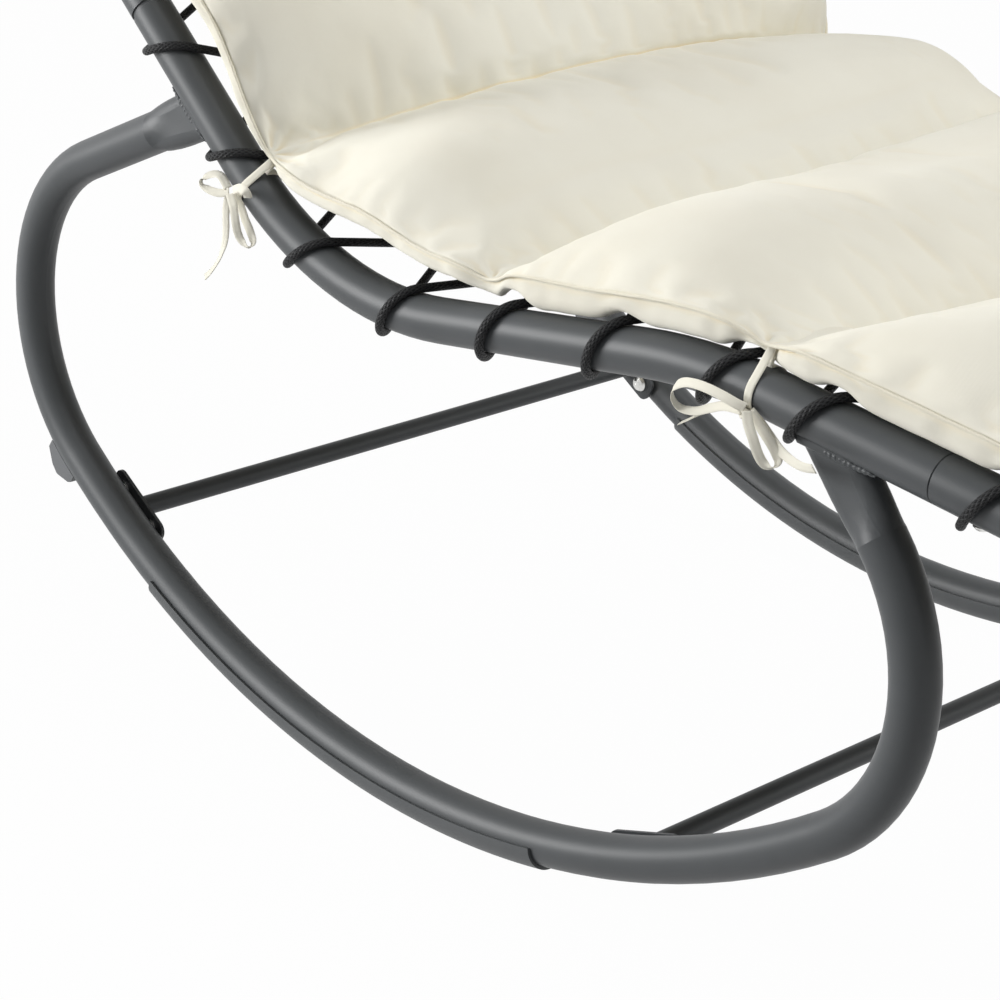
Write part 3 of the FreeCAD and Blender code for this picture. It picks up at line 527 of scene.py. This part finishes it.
def braid(name, dark, light):
    """Round braid: strands that cross in two spirals, with painted shade, darker in the grooves between the
    strands and lighter on their crowns. UVs run along the cord in metres and once round it.
    """
    material, tree, shader = new_material(name)
    parts = add_node(tree, "ShaderNodeSeparateXYZ")
    tree.links.new(add_node(tree, "ShaderNodeUVMap").outputs["UV"], parts.inputs["Vector"])
    waves = []
    for sign in (1, -1):
        along = add_node(tree, "ShaderNodeMath", operation="MULTIPLY")
        along.inputs[1].default_value = 2 * math.pi / (braid_pitch * MM)
        tree.links.new(parts.outputs["X"], along.inputs[0])
        mix = add_node(tree, "ShaderNodeMath", operation="MULTIPLY_ADD")
        mix.inputs[1].default_value = sign * 2 * math.pi * braid_strands
        tree.links.new(parts.outputs["Y"], mix.inputs[0])
        tree.links.new(along.outputs[0], mix.inputs[2])
        wave = add_node(tree, "ShaderNodeMath", operation="SINE")
        tree.links.new(mix.outputs[0], wave.inputs[0])
        waves.append(wave.outputs[0])
    height = add_node(tree, "ShaderNodeMath", operation="MAXIMUM")
    tree.links.new(waves[0], height.inputs[0])
    tree.links.new(waves[1], height.inputs[1])
    # Painted shade: the colour is darker in the grooves between the strands and lighter on their crowns.
    tree.links.new(tinted(tree, height.outputs[0], dark, light, 0.2, 1.0), shader.inputs["Base Color"])
    shader.inputs["Roughness"].default_value = 0.55
    shader.inputs["Specular IOR Level"].default_value = 0.25
    bump(tree, shader, height.outputs[0], 0.8, 0.0006)
    return material


# Cushion

def crown_share(place):
    """0 at a seam, 1 at mid-channel."""
    share = place - min(int(place), channel_count - 1)
    return math.sin(math.pi * min(max(share, 0.0), 1.0)) ** crown_power


def sling_top(place, y):
    """Height of the sling's upper side over the tube's axis."""
    inner = sling_half - sling_hem
    rise = (eased(belly_rise, place) + belly_base) * max(0.0, 1 - (y / inner) ** 2)
    return sling_lift + sling_thickness + rise


def seam_offset(place):
    """Distance from the nearest seam, in millimetres, along the tube."""
    return abs(seam_distance(place) - seam_distance(float(round(place))))


def smooth_step(value):
    """0 below 0, 1 above 1, eased between."""
    value = min(max(value, 0.0), 1.0)
    return value * value * (3 - 2 * value)


def cushion_edge(place):
    """Half width, height of the lower edge, and height of the side seam."""
    gather = math.exp(-(seam_offset(place) / gather_length) ** 2)
    low = eased(edge_lift, place)
    rim = low + rim_height + (gather_rim_height - rim_height) * gather
    return cushion_half - seam_draw_in * gather, low, rim


def hanging_edge(place, low):
    """Height of the side panel's lower edge: on the tube past the hip, raised over each turn of the cord."""
    distance = seam_distance(place)
    raised = 0.0
    for k in range(wrap_count):
        off = distance - wrap_distance(k) - over_tube_shift
        raised = max(raised, math.exp(-(off / over_turn_length) ** 4))
    rests = smooth_step((place - edge_rests_from) / edge_rests_within)
    return low - (low - edge_rest) * rests * (1 - raised)


def under_side(place, y, low, edge):
    """Height of the lower panel: on the sling in the middle, level over the lacing, then down to its edge."""
    sling = sling_top(place, y) + cushion_gap
    share = smooth_step((abs(y) - (sling_half - sling_hem)) / (lacing_zone_y - sling_half + sling_hem))
    height = sling * (1 - share) + low * share
    drop = smooth_step((abs(y) - edge_drop_y) / edge_drop_width)
    return height * (1 - drop) + edge * drop


def folds(distance, y, wave_along, wave_across, seed):
    """Soft ridges, mostly above zero, from smooth noise."""
    value = noise.noise(Vector((distance / wave_along, y / wave_across, seed)))
    return value - 0.6 * abs(value)


def gather_folds(place, y, half):
    """Folds that spread from the tied or sewn point at each end of a seam."""
    seam = seam_distance(float(round(place)))
    along = seam_distance(place) - seam
    inward = half - abs(y)
    reach = math.hypot(along, inward)
    if reach > gather_folds_reach:
        return 0.0
    angle = math.atan2(inward, along)
    shift = 5 * noise.noise(Vector((seam / 50, math.copysign(3, y), 0.5)))
    wave = math.sin(gather_folds_count * angle + shift)
    fade = math.exp(-reach / gather_folds_fade)
    return gather_fold_height * wave * fade * smooth_step(reach / gather_folds_start)


def upper_side(place, y, half, rim):
    """Height of the upper panel. The loose filling has moved a little to the left side."""
    share = min(abs(y) / half, 1.0)
    left = smooth_step(0.5 + 0.5 * y / half)
    puff = crown_share(place) ** (1.0 - crown_left * left)
    base = rim * share ** 2 + (sling_top(place, 0.0) + cushion_gap) * (1 - share ** 2)
    power = 2 + (rise_power + rise_power_left * left) * puff
    roundness = 1.0 - (rise_roundness + rise_roundness_left * left) * puff
    fullness = (1 - share ** power) ** roundness
    crease = crease_thickness * (1 + crease_left * left)
    height = base + (crease + (crest_thickness - crease) * puff) * fullness
    distance = seam_distance(place)
    inward = half - abs(y)
    off_seam = seam_offset(place)
    rim_fold = rim_fold_height * math.exp(-inward / rim_fold_fade)
    seam_fold = seam_fold_height * math.exp(-off_seam / seam_fold_fade)
    height += rim_fold * folds(distance, y, 15.0, 60.0, 3.1) * smooth_step(off_seam / 15)
    height += seam_fold * folds(distance * 0.4, y, 60.0, 21.0, 9.4) * smooth_step(inward / 30)
    height += gather_folds(place, y, half)
    height += unevenness * noise.noise(Vector((distance / 130.0, y / 100.0, 7.7)))
    return height


def across_ring(place):
    """Points round the cushion, as y, height and hold, where 1 is a point that the cloth can't move."""
    half, low, rim = cushion_edge(place)
    distance = seam_distance(place)
    on_seam = math.exp(-(seam_offset(place) / stitch_hold_length) ** 2)
    top = []
    for k in range(top_steps + 1):
        turn = math.pi * k / top_steps
        even = 1 - 2 * k / top_steps
        y = -half * (top_crowding * math.cos(turn) + (1 - top_crowding) * even)
        hold = 1.0 if k in (0, top_steps) else on_seam
        top.append((y, upper_side(place, y, half, rim), hold))
    side = []
    edge = hanging_edge(place, low)
    drop = rim - edge
    for share, inset in side_profile:
        wave = folds(distance, share * 9.0, 13.0, 30.0, 5.5)
        fold = side_fold_height * wave * math.sin(math.pi * min(share * 1.1, 1.0))
        side.append((half - inset + fold, rim - drop * share, max(on_seam, side_hold)))
    flat = half - side_profile[-1][1]
    under = []
    for k in range(1, under_steps):
        y = flat * math.cos(math.pi * k / under_steps)
        under.append((y, under_side(place, y, low, edge), 1.0))
    far_side = [(-y, lift, hold) for y, lift, hold in reversed(side)]
    return top + side + under + far_side


def cushion_places():
    """Places of the rows, a little closer together near the seams."""
    places = []
    for channel in range(channel_count):
        steps = int(seam_pitches[channel] / row_spacing)
        for k in range(steps):
            share = k / steps
            places.append(channel + share - row_crowding * math.sin(2 * math.pi * share))
    return places + [float(channel_count)]


def cushion_mesh():
    """Upper, side and lower panels as one closed skin, row by row along the tube."""
    vertices = []
    uv = []
    holds = []
    places = cushion_places()
    for place in places:
        distance = seam_distance(place)
        ring = across_ring(place)
        girth = 0.0
        last_y, last_lift, _ = ring[0]
        for y, lift, hold in ring:
            girth += math.hypot(y - last_y, lift - last_lift)
            last_y, last_lift = y, lift
            vertices.append(seat(distance, y, lift))
            uv.append((distance * MM, girth * MM))
            holds.append(hold)
    columns = len(vertices) // len(places)
    faces = []
    for i in range(len(places) - 1):
        for j in range(columns):
            a = i * columns + j
            b = i * columns + (j + 1) % columns
            faces.append((a, a + columns, b + columns, b))
    last = (len(places) - 1) * columns
    faces.append(tuple(range(columns)))
    faces.append(tuple(range(last + columns - 1, last - 1, -1)))
    return vertices, faces, uv, holds


def billow(piece, holds):
    """Cloth simulation: loose fabric swells between the seams. It is applied and its movement capped."""
    group = piece.vertex_groups.new(name="held")
    for index, hold in enumerate(holds):
        group.add([index], hold, "REPLACE")
    before = [vertex.co.copy() for vertex in piece.data.vertices]
    cloth = piece.modifiers.new("cloth", "CLOTH")
    settings = cloth.settings
    settings.quality = 5
    settings.mass = 0.15
    settings.tension_stiffness = 12
    settings.compression_stiffness = 12
    settings.shear_stiffness = 4
    settings.bending_stiffness = 0.15
    settings.use_pressure = True
    settings.uniform_pressure_force = 1.6
    settings.shrink_min = -cloth_surplus
    settings.vertex_group_mass = "held"
    settings.effector_weights.gravity = 0
    cloth.collision_settings.use_collision = False
    cloth.point_cache.frame_end = cloth_frames
    for frame_number in range(1, cloth_frames + 1):
        bpy.context.scene.frame_set(frame_number)
    apply_modifiers(piece)
    bpy.context.scene.frame_set(1)
    for vertex, start in zip(piece.data.vertices, before):
        move = vertex.co - start
        if move.length > cloth_cap * MM:
            vertex.co = start + move.normalized() * cloth_cap * MM
    piece.vertex_groups.clear()


def make_edge_seam(side, name, material):
    """The sewn lip along the cushion's side seam, slightly wavy."""
    points = []
    for place in cushion_places():
        half, _, rim = cushion_edge(place)
        distance = seam_distance(place)
        wave = noise.noise(Vector((distance / seam_lip_wave_length, side * 4.0, 2.2)))
        points.append(seat(distance, side * (half + 0.5 + 0.5 * wave), rim + 0.6 * wave))
    vertices, faces, uv = tube_mesh(points, seam_lip_r * MM, seam_lip_sides)
    piece = make_object("cushion_seam_" + name, vertices, faces, material, uv=uv)
    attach(piece, "root")


def make_cushion(material):
    """The cover, closed, with one subdivision after its cloth."""
    vertices, faces, uv, holds = cushion_mesh()
    piece = make_object("cushion_cover", vertices, faces, material, uv=uv)
    billow(piece, holds)
    smooth = piece.modifiers.new("smooth", "SUBSURF")
    smooth.levels = 1
    smooth.render_levels = 1
    apply_modifiers(piece)
    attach(piece, "root")
    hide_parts("cushion")


# Sling

def sleeve_rows(end):
    """Distance, height and half width of the sheet where it loops round the head bar (0) or foot bar (1)."""
    bar = 0.0 if end == 0 else seat_line.length
    inward = 1 if end == 0 else -1
    radius = tube_r + sleeve_slack + sling_thickness / 2
    rows = [(bar + inward * off, sling_lift - drop) for off, drop in sleeve_sewn_rows]
    for k in range(sleeve_steps + 1):
        angle = math.radians(sleeve_start_angle - sleeve_turn * k / sleeve_steps)
        rows.append((bar + inward * radius * math.cos(angle), radius * math.sin(angle)))
    return [(distance, lift, sleeve_half) for distance, lift in rows]


def sheet_rows():
    """Rows of the sling's middle surface: distance, height at the laced edge, half width and place."""
    steps = channel_count * sling_rows_per_channel
    body = []
    for i in range(steps + 1):
        place = channel_count * i / steps
        body.append((seam_distance(place), sling_lift + sling_thickness / 2, sling_half, place))
    head = [row + (0.0,) for row in sleeve_rows(0)]
    foot = [row + (float(channel_count),) for row in sleeve_rows(1)]
    return head + body + foot[::-1]


def make_sling(material):
    """Woven sheet with a sleeve round each end bar and holes for the eyelets."""
    vertices = []
    uv = []
    length = 0.0
    previous = None
    for distance, lift, half, place in sheet_rows():
        flat = half == sleeve_half
        centre = seat(distance, 0, lift)
        length += (centre - previous).length if previous is not None else 0.0
        previous = centre
        for j in range(sling_columns + 1):
            y = half * (2 * j / sling_columns - 1)
            height = lift if flat else sling_top(place, y) - sling_thickness / 2
            vertices.append(seat(distance, y, height))
            uv.append((length, y * MM))
    rows = len(vertices) // (sling_columns + 1)
    faces = grid_faces(rows, sling_columns + 1)
    piece = make_object("sling_sheet", vertices, faces, material, uv=uv)
    thick = piece.modifiers.new("thick", "SOLIDIFY")
    thick.thickness = sling_thickness * MM
    thick.offset = 0
    apply_modifiers(piece)
    punch_holes(piece)
    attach(piece, "root")
    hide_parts("sling")


def punch_holes(piece):
    """Cuts the sling open inside each eyelet."""
    cutter_mesh = bpy.data.meshes.new("eyelet_cutters")
    work = bmesh.new()
    radius = eyelet_hole_r * MM
    for distance in eyelet_distances():
        for side, _ in sides:
            low = seat(distance, side * sling_eyelet_y, sling_lift - cutter_below)
            high = seat(distance, side * sling_eyelet_y, sling_lift + cutter_above)
            turn = (high - low).to_track_quat("Z", "Y").to_matrix().to_4x4()
            turn.translation = (low + high) / 2
            bmesh.ops.create_cone(work, cap_ends=True, segments=24, radius1=radius, radius2=radius,
                                  depth=(high - low).length, matrix=turn)
    work.to_mesh(cutter_mesh)
    work.free()
    cutter = bpy.data.objects.new("eyelet_cutters", cutter_mesh)
    bpy.context.scene.collection.objects.link(cutter)
    cut = piece.modifiers.new("holes", "BOOLEAN")
    cut.object = cutter
    cut.solver = "EXACT"
    apply_modifiers(piece)
    bpy.data.objects.remove(cutter)


# Lacing

def lacing_route(side):
    """Centre line of the cord: round the tube from below and over its top, then down the next eyelet."""
    eyelet_lift = sling_lift + sling_thickness / 2
    reach = rail_y - sling_eyelet_y
    low, high = eyelet_lift - eyelet_clear, eyelet_lift + eyelet_clear
    low_tangent = math.degrees(math.acos(wrap_r / math.hypot(reach, low)))
    high_tangent = math.degrees(math.acos(wrap_r / math.hypot(reach, high)))
    from_below = 180 - math.degrees(math.atan2(low, reach)) + low_tangent
    to_above = 540 - math.degrees(math.atan2(high, reach)) - high_tangent
    eyes = eyelet_distances()
    route = []
    for k in range(wrap_count):
        start = loose_start_angle if k == 0 else from_below
        end = loose_end_angle if k == wrap_count - 1 else to_above
        for i in range(wrap_steps + 1):
            share = i / wrap_steps
            angle = math.radians(start + (end - start) * share)
            along = wrap_distance(k) + wrap_slant * (share - 0.5)
            route.append((along, rail_y + wrap_r * math.cos(angle), wrap_r * math.sin(angle)))
        if k < wrap_count - 1:
            for i in range(eyelet_steps + 1):
                turn = math.pi * (i / eyelet_steps - 0.5)
                along = eyes[k] + eyelet_slack * math.sin(turn)
                bulge = eyelet_bulge * (1 - math.cos(turn)) - eyelet_inset
                route.append((along, sling_eyelet_y + bulge, eyelet_lift - eyelet_clear * math.sin(turn)))
    return [seat(along, side * y, lift) for along, y, lift in route]


def spread_points(points, spacing):
    """Even points along a broken line, so that long stretches get as many as short ones."""
    spread = [points[0]]
    for a, b in zip(points, points[1:]):
        count = max(1, round((b - a).length / spacing))
        spread += [a.lerp(b, k / count) for k in range(1, count + 1)]
    return spread


def tube_mesh(points, radius, sides):
    """Round skin along points, with frames carried forward so that it never twists."""
    vertices, uv = [], []
    way = (points[1] - points[0]).normalized()
    across = way.orthogonal().normalized()
    length = 0.0
    for k, point in enumerate(points):
        ahead = points[min(k + 1, len(points) - 1)]
        behind = points[max(k - 1, 0)]
        way = (ahead - behind).normalized()
        across = (across - way * across.dot(way)).normalized()
        up = way.cross(across)
        if k:
            length += (point - points[k - 1]).length
        for i in range(sides + 1):
            angle = 2 * math.pi * i / sides
            vertices.append(point + (across * math.cos(angle) + up * math.sin(angle)) * radius)
            uv.append((length, i / sides))
    faces = grid_faces(len(points), sides + 1)
    last = (len(points) - 1) * (sides + 1)
    faces.append(tuple(range(sides)))
    faces.append(tuple(last + i for i in range(sides - 1, -1, -1)))
    return vertices, faces, uv


def make_lacing(side, name, material):
    """One unbroken braided cord along a side."""
    points = spread_points(lacing_route(side), cord_spacing * MM)
    vertices, faces, uv = tube_mesh(points, cord_r * MM, cord_sides)
    piece = make_object("lacing_braid_" + name, vertices, faces, material, uv=uv)
    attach(piece, "root")
    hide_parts("lacing_cord_" + name)


# Welds

def weld_mesh(start, end, out, seed):
    """Lumpy bead under the seat tube, where the face of a rocker leg meets it."""
    count = int((end - start) / weld_row_spacing)
    lift = -math.sqrt(tube_r ** 2 - weld_out ** 2) - weld_sunk
    vertices = []
    for i in range(count + 1):
        distance = start + (end - start) * i / count
        taper = math.sin(math.pi * min(max(i / count, 0.02), 0.98)) ** 0.35
        ripple = weld_ripple * math.cos(2 * math.pi * distance / weld_ripple_pitch)
        wander = noise.noise(Vector((distance / weld_wander_length, seed, 0.4)))
        for j in range(weld_columns):
            angle = 2 * math.pi * j / weld_columns
            spot = (distance / weld_pit_length, 2.0 * math.cos(angle) + seed, 2.0 * math.sin(angle))
            pit = noise.noise(Vector(spot))
            radius = taper * (weld_r + ripple + weld_wander * wander + weld_pit * pit)
            y = out + math.copysign(radius * math.cos(angle), out)
            vertices.append(seat(distance, y, lift + radius * math.sin(angle) + 0.5 * wander))
    return vertices, closed_faces(count + 1, weld_columns), []


def make_welds(side, name, material):
    """The four beads at one rocker, on both faces of both pressed ends."""
    beads = []
    for number, (start, end) in enumerate(weld_runs):
        for face_side in (-1, 1):
            out = side * rail_y + face_side * weld_out
            beads.append(weld_mesh(start, end, out, 3.0 * number + face_side))
    vertices, faces, _ = joined(beads)
    piece = make_object("rocker_welds_" + name, vertices, faces, material)
    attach(piece, "root")


# Ties

def camera_rotation():
    return Euler((math.radians(90 - camera_elevation), 0, math.radians(camera_azimuth))).to_matrix()


def camera_point():
    """Where the photograph was taken from, in metres."""
    x, y, z = camera_place
    return Vector((x - centre_x, y, z)) * MM


def on_picture(across, down, out):
    """Point behind a place in the photograph, so far out from the near seat tube's axis."""
    aim = Vector(((across - photo_px / 2) / focal_px, (photo_px / 2 - down) / focal_px, -1.0))
    aim = camera_rotation() @ aim
    start = camera_point()
    return start + aim * ((-(rail_y + out) * MM - start.y) / aim.y)


def spline(values, steps):
    """Smooth run through a list of vectors, as a Catmull-Rom spline."""
    run = []
    for k in range(len(values) - 1):
        a = values[max(k - 1, 0)]
        b, c = values[k], values[k + 1]
        d = values[min(k + 2, len(values) - 1)]
        for i in range(steps):
            t = i / steps
            run.append(0.5 * (2 * b + (c - a) * t + (2 * a - 5 * b + 4 * c - d) * t * t
                              + (3 * b - 3 * c + d - a) * t ** 3))
    return run + [values[-1]]


def tape_mesh(points, widths):
    """Closed flat tape with slightly rounded edges. widths are vectors across it, one a point."""
    vertices, uv = [], []
    half = tape_width * MM / 2
    thick = tape_thickness * MM / 2
    length = 0.0
    for k, point in enumerate(points):
        way = (points[min(k + 1, len(points) - 1)] - points[max(k - 1, 0)]).normalized()
        across = (widths[k] - way * widths[k].dot(way)).normalized()
        face = way.cross(across)
        length += (point - points[k - 1]).length if k else 0.0
        for a, b in tape_section:
            vertices.append(point + across * a * half + face * b * thick)
            uv.append((length, a * half))
    return vertices, closed_faces(len(points), len(tape_section)), uv


def strand_lines(strand):
    """Centre line and directions across the tape, for a strand given by places in the photograph."""
    middle = [on_picture(across, down, out) for across, down, out, _ in strand]
    view = camera_rotation() @ Vector((0, 0, -1))
    widths = []
    for k, (_, _, _, turn) in enumerate(strand):
        way = middle[min(k + 1, len(middle) - 1)] - middle[max(k - 1, 0)]
        flat = view.cross(way).normalized()
        turn = math.radians(turn)
        widths.append(flat * math.cos(turn) + view * math.sin(turn))
    return spline(middle, strand_steps), spline(widths, strand_steps)


def seat_way(distance):
    """Direction of the seat tube, towards the foot end."""
    return (seat(distance + 1, 0, 0) - seat(distance - 1, 0, 0)).normalized()


def ring_lines(distance, side, start, end, sewn):
    """Tape from where it is sewn, at y and height sewn, to the seat tube and round it between two angles."""
    reach = tube_r + tape_gap + tape_thickness / 2
    points = [seat(distance, side * sewn[0], sewn[1])]
    for k in range(ring_steps + 1):
        angle = math.radians(start + (end - start) * k / ring_steps)
        points.append(seat(distance, side * (rail_y - reach * math.cos(angle)), reach * math.sin(angle)))
    return points, [seat_way(distance)] * len(points)


def knot_mesh(centre, way, down):
    """Lumpy barrel of folded tape."""
    out = way.cross(down)
    vertices, uv = [], []
    for i in range(knot_rows):
        share = 2 * i / (knot_rows - 1) - 1
        for j in range(knot_columns):
            angle = 2 * math.pi * j / knot_columns
            lump = 0.55 * math.cos(3 * angle + 4 * share) + 0.25 * math.cos(7 * angle - 6 * share)
            radius = (knot_r * (1 - share ** 4) ** 0.5 + lump * (1 - share ** 2)) * MM
            arm = down * math.cos(angle) + out * math.sin(angle)
            vertices.append(centre + way * share * knot_half * MM + arm * max(radius, knot_least_r * MM))
            uv.append((share * knot_half * MM, radius * angle))
    return vertices, closed_faces(knot_rows, knot_columns), uv


def knot_centre(distance, side):
    """Middle of a bow's knot, low on the outer side of the seat tube."""
    angle = math.radians(knot_angle)
    reach = tube_r + tape_gap + knot_r + knot_off_tape
    return seat(distance, side * (rail_y - reach * math.cos(angle)), reach * math.sin(angle))


def make_tie(index, side, name, material):
    """Ribbon sewn to the end of a seam, tied round the seat tube in a bow that hangs on its outer side.

    The photograph shows the right side's bows at the hip and the knee. The others are copies of them.
    """
    seam = float(tie_seams[index])
    bow, shown_seam = (knee_bow, tie_seams[2]) if index == 2 else (hip_bow, tie_seams[1])
    distance = seam_distance(seam) + tie_past_seam
    centre = knot_centre(distance, side)
    home = knot_centre(seam_distance(float(shown_seam)) + tie_past_seam, -1)
    half, _, rim = cushion_edge(seam)
    lines = [ring_lines(distance, side, outer_tape_angle, knot_angle, (half + 1.0, rim)),
             ring_lines(distance, side, inner_tape_angle, knot_angle - 360, (half - 1.0, rim - 2.0))]
    for strand in bow:
        points, widths = strand_lines(strand)
        moved = [Vector((p.x - home.x, (p.y - home.y) * -side, p.z - home.z)) + centre for p in points]
        turned = [Vector((w.x, w.y * -side, w.z)) for w in widths]
        lines.append((moved, turned))
    way = seat_way(distance)
    meshes = [tape_mesh(points, widths) for points, widths in lines]
    meshes.append(knot_mesh(centre, way, Vector((0, side, 0)).cross(way)))
    vertices, faces, uv = joined(meshes)
    label = "%d_%s" % (index + 1, name)
    piece = make_object("ribbon_" + label, vertices, faces, material, uv=uv)
    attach(piece, "root")
    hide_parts("tie_" + label)


# Stage

def seen_straight(tree):
    """1 for what the camera, a reflection or a look through something shows, 0 for light on the object."""
    path = add_node(tree, "ShaderNodeLightPath")
    total = path.outputs["Is Camera Ray"]
    for ray in ("Is Glossy Ray", "Is Transmission Ray"):
        larger = add_node(tree, "ShaderNodeMath", operation="MAXIMUM")
        tree.links.new(total, larger.inputs[0])
        tree.links.new(path.outputs[ray], larger.inputs[1])
        total = larger.outputs[0]
    return total


def make_floor():
    """Pale floor that looks nearly white and keeps the object's shadow."""
    mesh = bpy.data.meshes.new("floor")
    corners = [(x * floor_half, y * floor_half, 0) for x, y in ((-1, -1), (1, -1), (1, 1), (-1, 1))]
    mesh.from_pydata(corners, [], [(0, 1, 2, 3)])
    floor = bpy.data.objects.new("floor", mesh)
    bpy.context.scene.collection.objects.link(floor)
    material, tree, shader = new_material("floor_paper")
    shader.inputs["Base Color"].default_value = (floor_grey, floor_grey, floor_grey, 1)
    shader.inputs["Roughness"].default_value = 0.9
    white = add_node(tree, "ShaderNodeEmission", Color=(1, 1, 1, 1), Strength=1.0)
    mix = add_node(tree, "ShaderNodeMixShader")
    seen = add_node(tree, "ShaderNodeMath", operation="MULTIPLY")
    seen.inputs[1].default_value = floor_white_share
    tree.links.new(seen_straight(tree), seen.inputs[0])
    tree.links.new(seen.outputs[0], mix.inputs["Fac"])
    tree.links.new(shader.outputs[0], mix.inputs[1])
    tree.links.new(white.outputs[0], mix.inputs[2])
    tree.links.new(mix.outputs[0], tree.nodes["Material Output"].inputs["Surface"])
    mesh.materials.append(material)


def make_world():
    """White where it is seen, and a weak cool light on the object."""
    world = bpy.data.worlds.new("studio")
    bpy.context.scene.world = world
    world.use_nodes = True
    tree = world.node_tree
    light = tree.nodes["Background"]
    light.inputs["Color"].default_value = (0.95, 0.97, 1.0, 1)
    light.inputs["Strength"].default_value = world_strength
    white = add_node(tree, "ShaderNodeBackground", Color=(1, 1, 1, 1), Strength=1.0)
    mix = add_node(tree, "ShaderNodeMixShader")
    tree.links.new(seen_straight(tree), mix.inputs["Fac"])
    tree.links.new(light.outputs[0], mix.inputs[1])
    tree.links.new(white.outputs[0], mix.inputs[2])
    tree.links.new(mix.outputs[0], tree.nodes["World Output"].inputs["Surface"])


def make_light(name, place, target, size, power):
    """Soft box that is aimed at a target."""
    data = bpy.data.lights.new(name, "AREA")
    data.shape = "RECTANGLE"
    data.size, data.size_y = size
    data.energy = power
    lamp = bpy.data.objects.new(name, data)
    lamp.location = place
    lamp.rotation_euler = (Vector(target) - Vector(place)).to_track_quat("-Z", "Y").to_euler()
    bpy.context.scene.collection.objects.link(lamp)


def make_camera():
    data = bpy.data.cameras.new("camera")
    data.sensor_width = 36.0
    data.lens = data.sensor_width * focal_px / photo_px
    data.clip_end = 50.0
    camera = bpy.data.objects.new("camera", data)
    camera.location = camera_point()
    camera.rotation_euler = camera_rotation().to_euler()
    bpy.context.scene.collection.objects.link(camera)
    bpy.context.scene.camera = camera


def paint(names, material):
    """Gives CAD pieces a finish."""
    for name in names:
        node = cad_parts[name]
        node.data.materials.clear()
        node.data.materials.append(material)


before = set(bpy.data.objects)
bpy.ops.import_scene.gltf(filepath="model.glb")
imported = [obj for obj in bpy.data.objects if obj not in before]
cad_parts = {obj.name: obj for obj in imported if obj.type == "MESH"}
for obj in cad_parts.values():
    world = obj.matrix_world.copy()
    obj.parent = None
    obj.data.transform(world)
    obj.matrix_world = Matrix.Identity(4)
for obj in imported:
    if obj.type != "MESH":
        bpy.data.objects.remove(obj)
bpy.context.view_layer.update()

make_camera()
make_world()
make_floor()
for lamp_values in lamps:
    make_light(*lamp_values)

coat = powder_coat("powder_coat", (0.068, 0.073, 0.076), (0.078, 0.083, 0.087))
# Crossbars: a darker copy of the frame's powder coat, painted shade on the bars under the seat.
shaded_bar_coat = powder_coat("powder_coat_bars_shaded", (0.05, 0.054, 0.057), (0.06, 0.064, 0.068), 0.48)
zinc = plated_metal("zinc", (0.75, 0.75, 0.73), 0.3)
strip_plastic = moulded_plastic("strip_plastic", (0.06, 0.065, 0.068), (0.075, 0.08, 0.083), 0.5)
stop_plastic = moulded_plastic("stop_plastic", (0.09, 0.095, 0.1), (0.11, 0.115, 0.12), 0.5)
# Cushion cloth: its third colour is painted shade, darker and warmer in the creases.
cushion_cloth = fabric("cream_polyester", (0.80, 0.765, 0.65), (0.85, 0.825, 0.72), 0.0005, 0.7, 0.2, 0.25,
                       painted_crease_shade=(0.78, 0.68, 0.47))
lip_cloth = fabric("cream_lip", (0.79, 0.74, 0.6), (0.84, 0.8, 0.67), 0.0005, 0.75, 0.2)
sling_cloth = fabric("sling_weave", (0.55, 0.5, 0.4), (0.62, 0.57, 0.46), 0.0012)
ribbon_cloth = fabric("ribbon_tape", (0.8, 0.77, 0.66), (0.86, 0.83, 0.72), 0.0006)
# Cord: its darker colour is painted shade in the grooves between the strands.
cord_braid = braid("cord_braid", (0.004, 0.004, 0.005), (0.02, 0.021, 0.022))

paint(["seat_rail_right", "seat_rail_left", "head_frame", "foot_frame"], coat)
paint(["rocker_tube_right", "rocker_tube_left"], coat)
paint(["rear_crossbar", "front_crossbar"], shaded_bar_coat)
paint(["head_joint_screws", "foot_joint_screws", "joint_nuts", "rear_stop_screws"], zinc)
paint(["rear_crossbar_bolts", "front_crossbar_bolts", "crossbar_rivet_nuts", "glide_strip_screws"], zinc)
paint(["eyelets_right", "eyelets_left"], zinc)
paint(["glide_strip_right", "glide_strip_left"], strip_plastic)
paint(["rear_stop_right", "rear_stop_left"], stop_plastic)

make_cushion(cushion_cloth)
for side, name in sides:
    make_edge_seam(side, name, lip_cloth)
make_sling(sling_cloth)
for side, name in sides:
    make_lacing(side, name, cord_braid)
for side, name in sides:
    make_welds(side, name, coat)
for index in range(len(tie_seams)):
    for side, name in sides:
        make_tie(index, side, name, ribbon_cloth)

bpy.context.scene.view_settings.view_transform = "Standard"
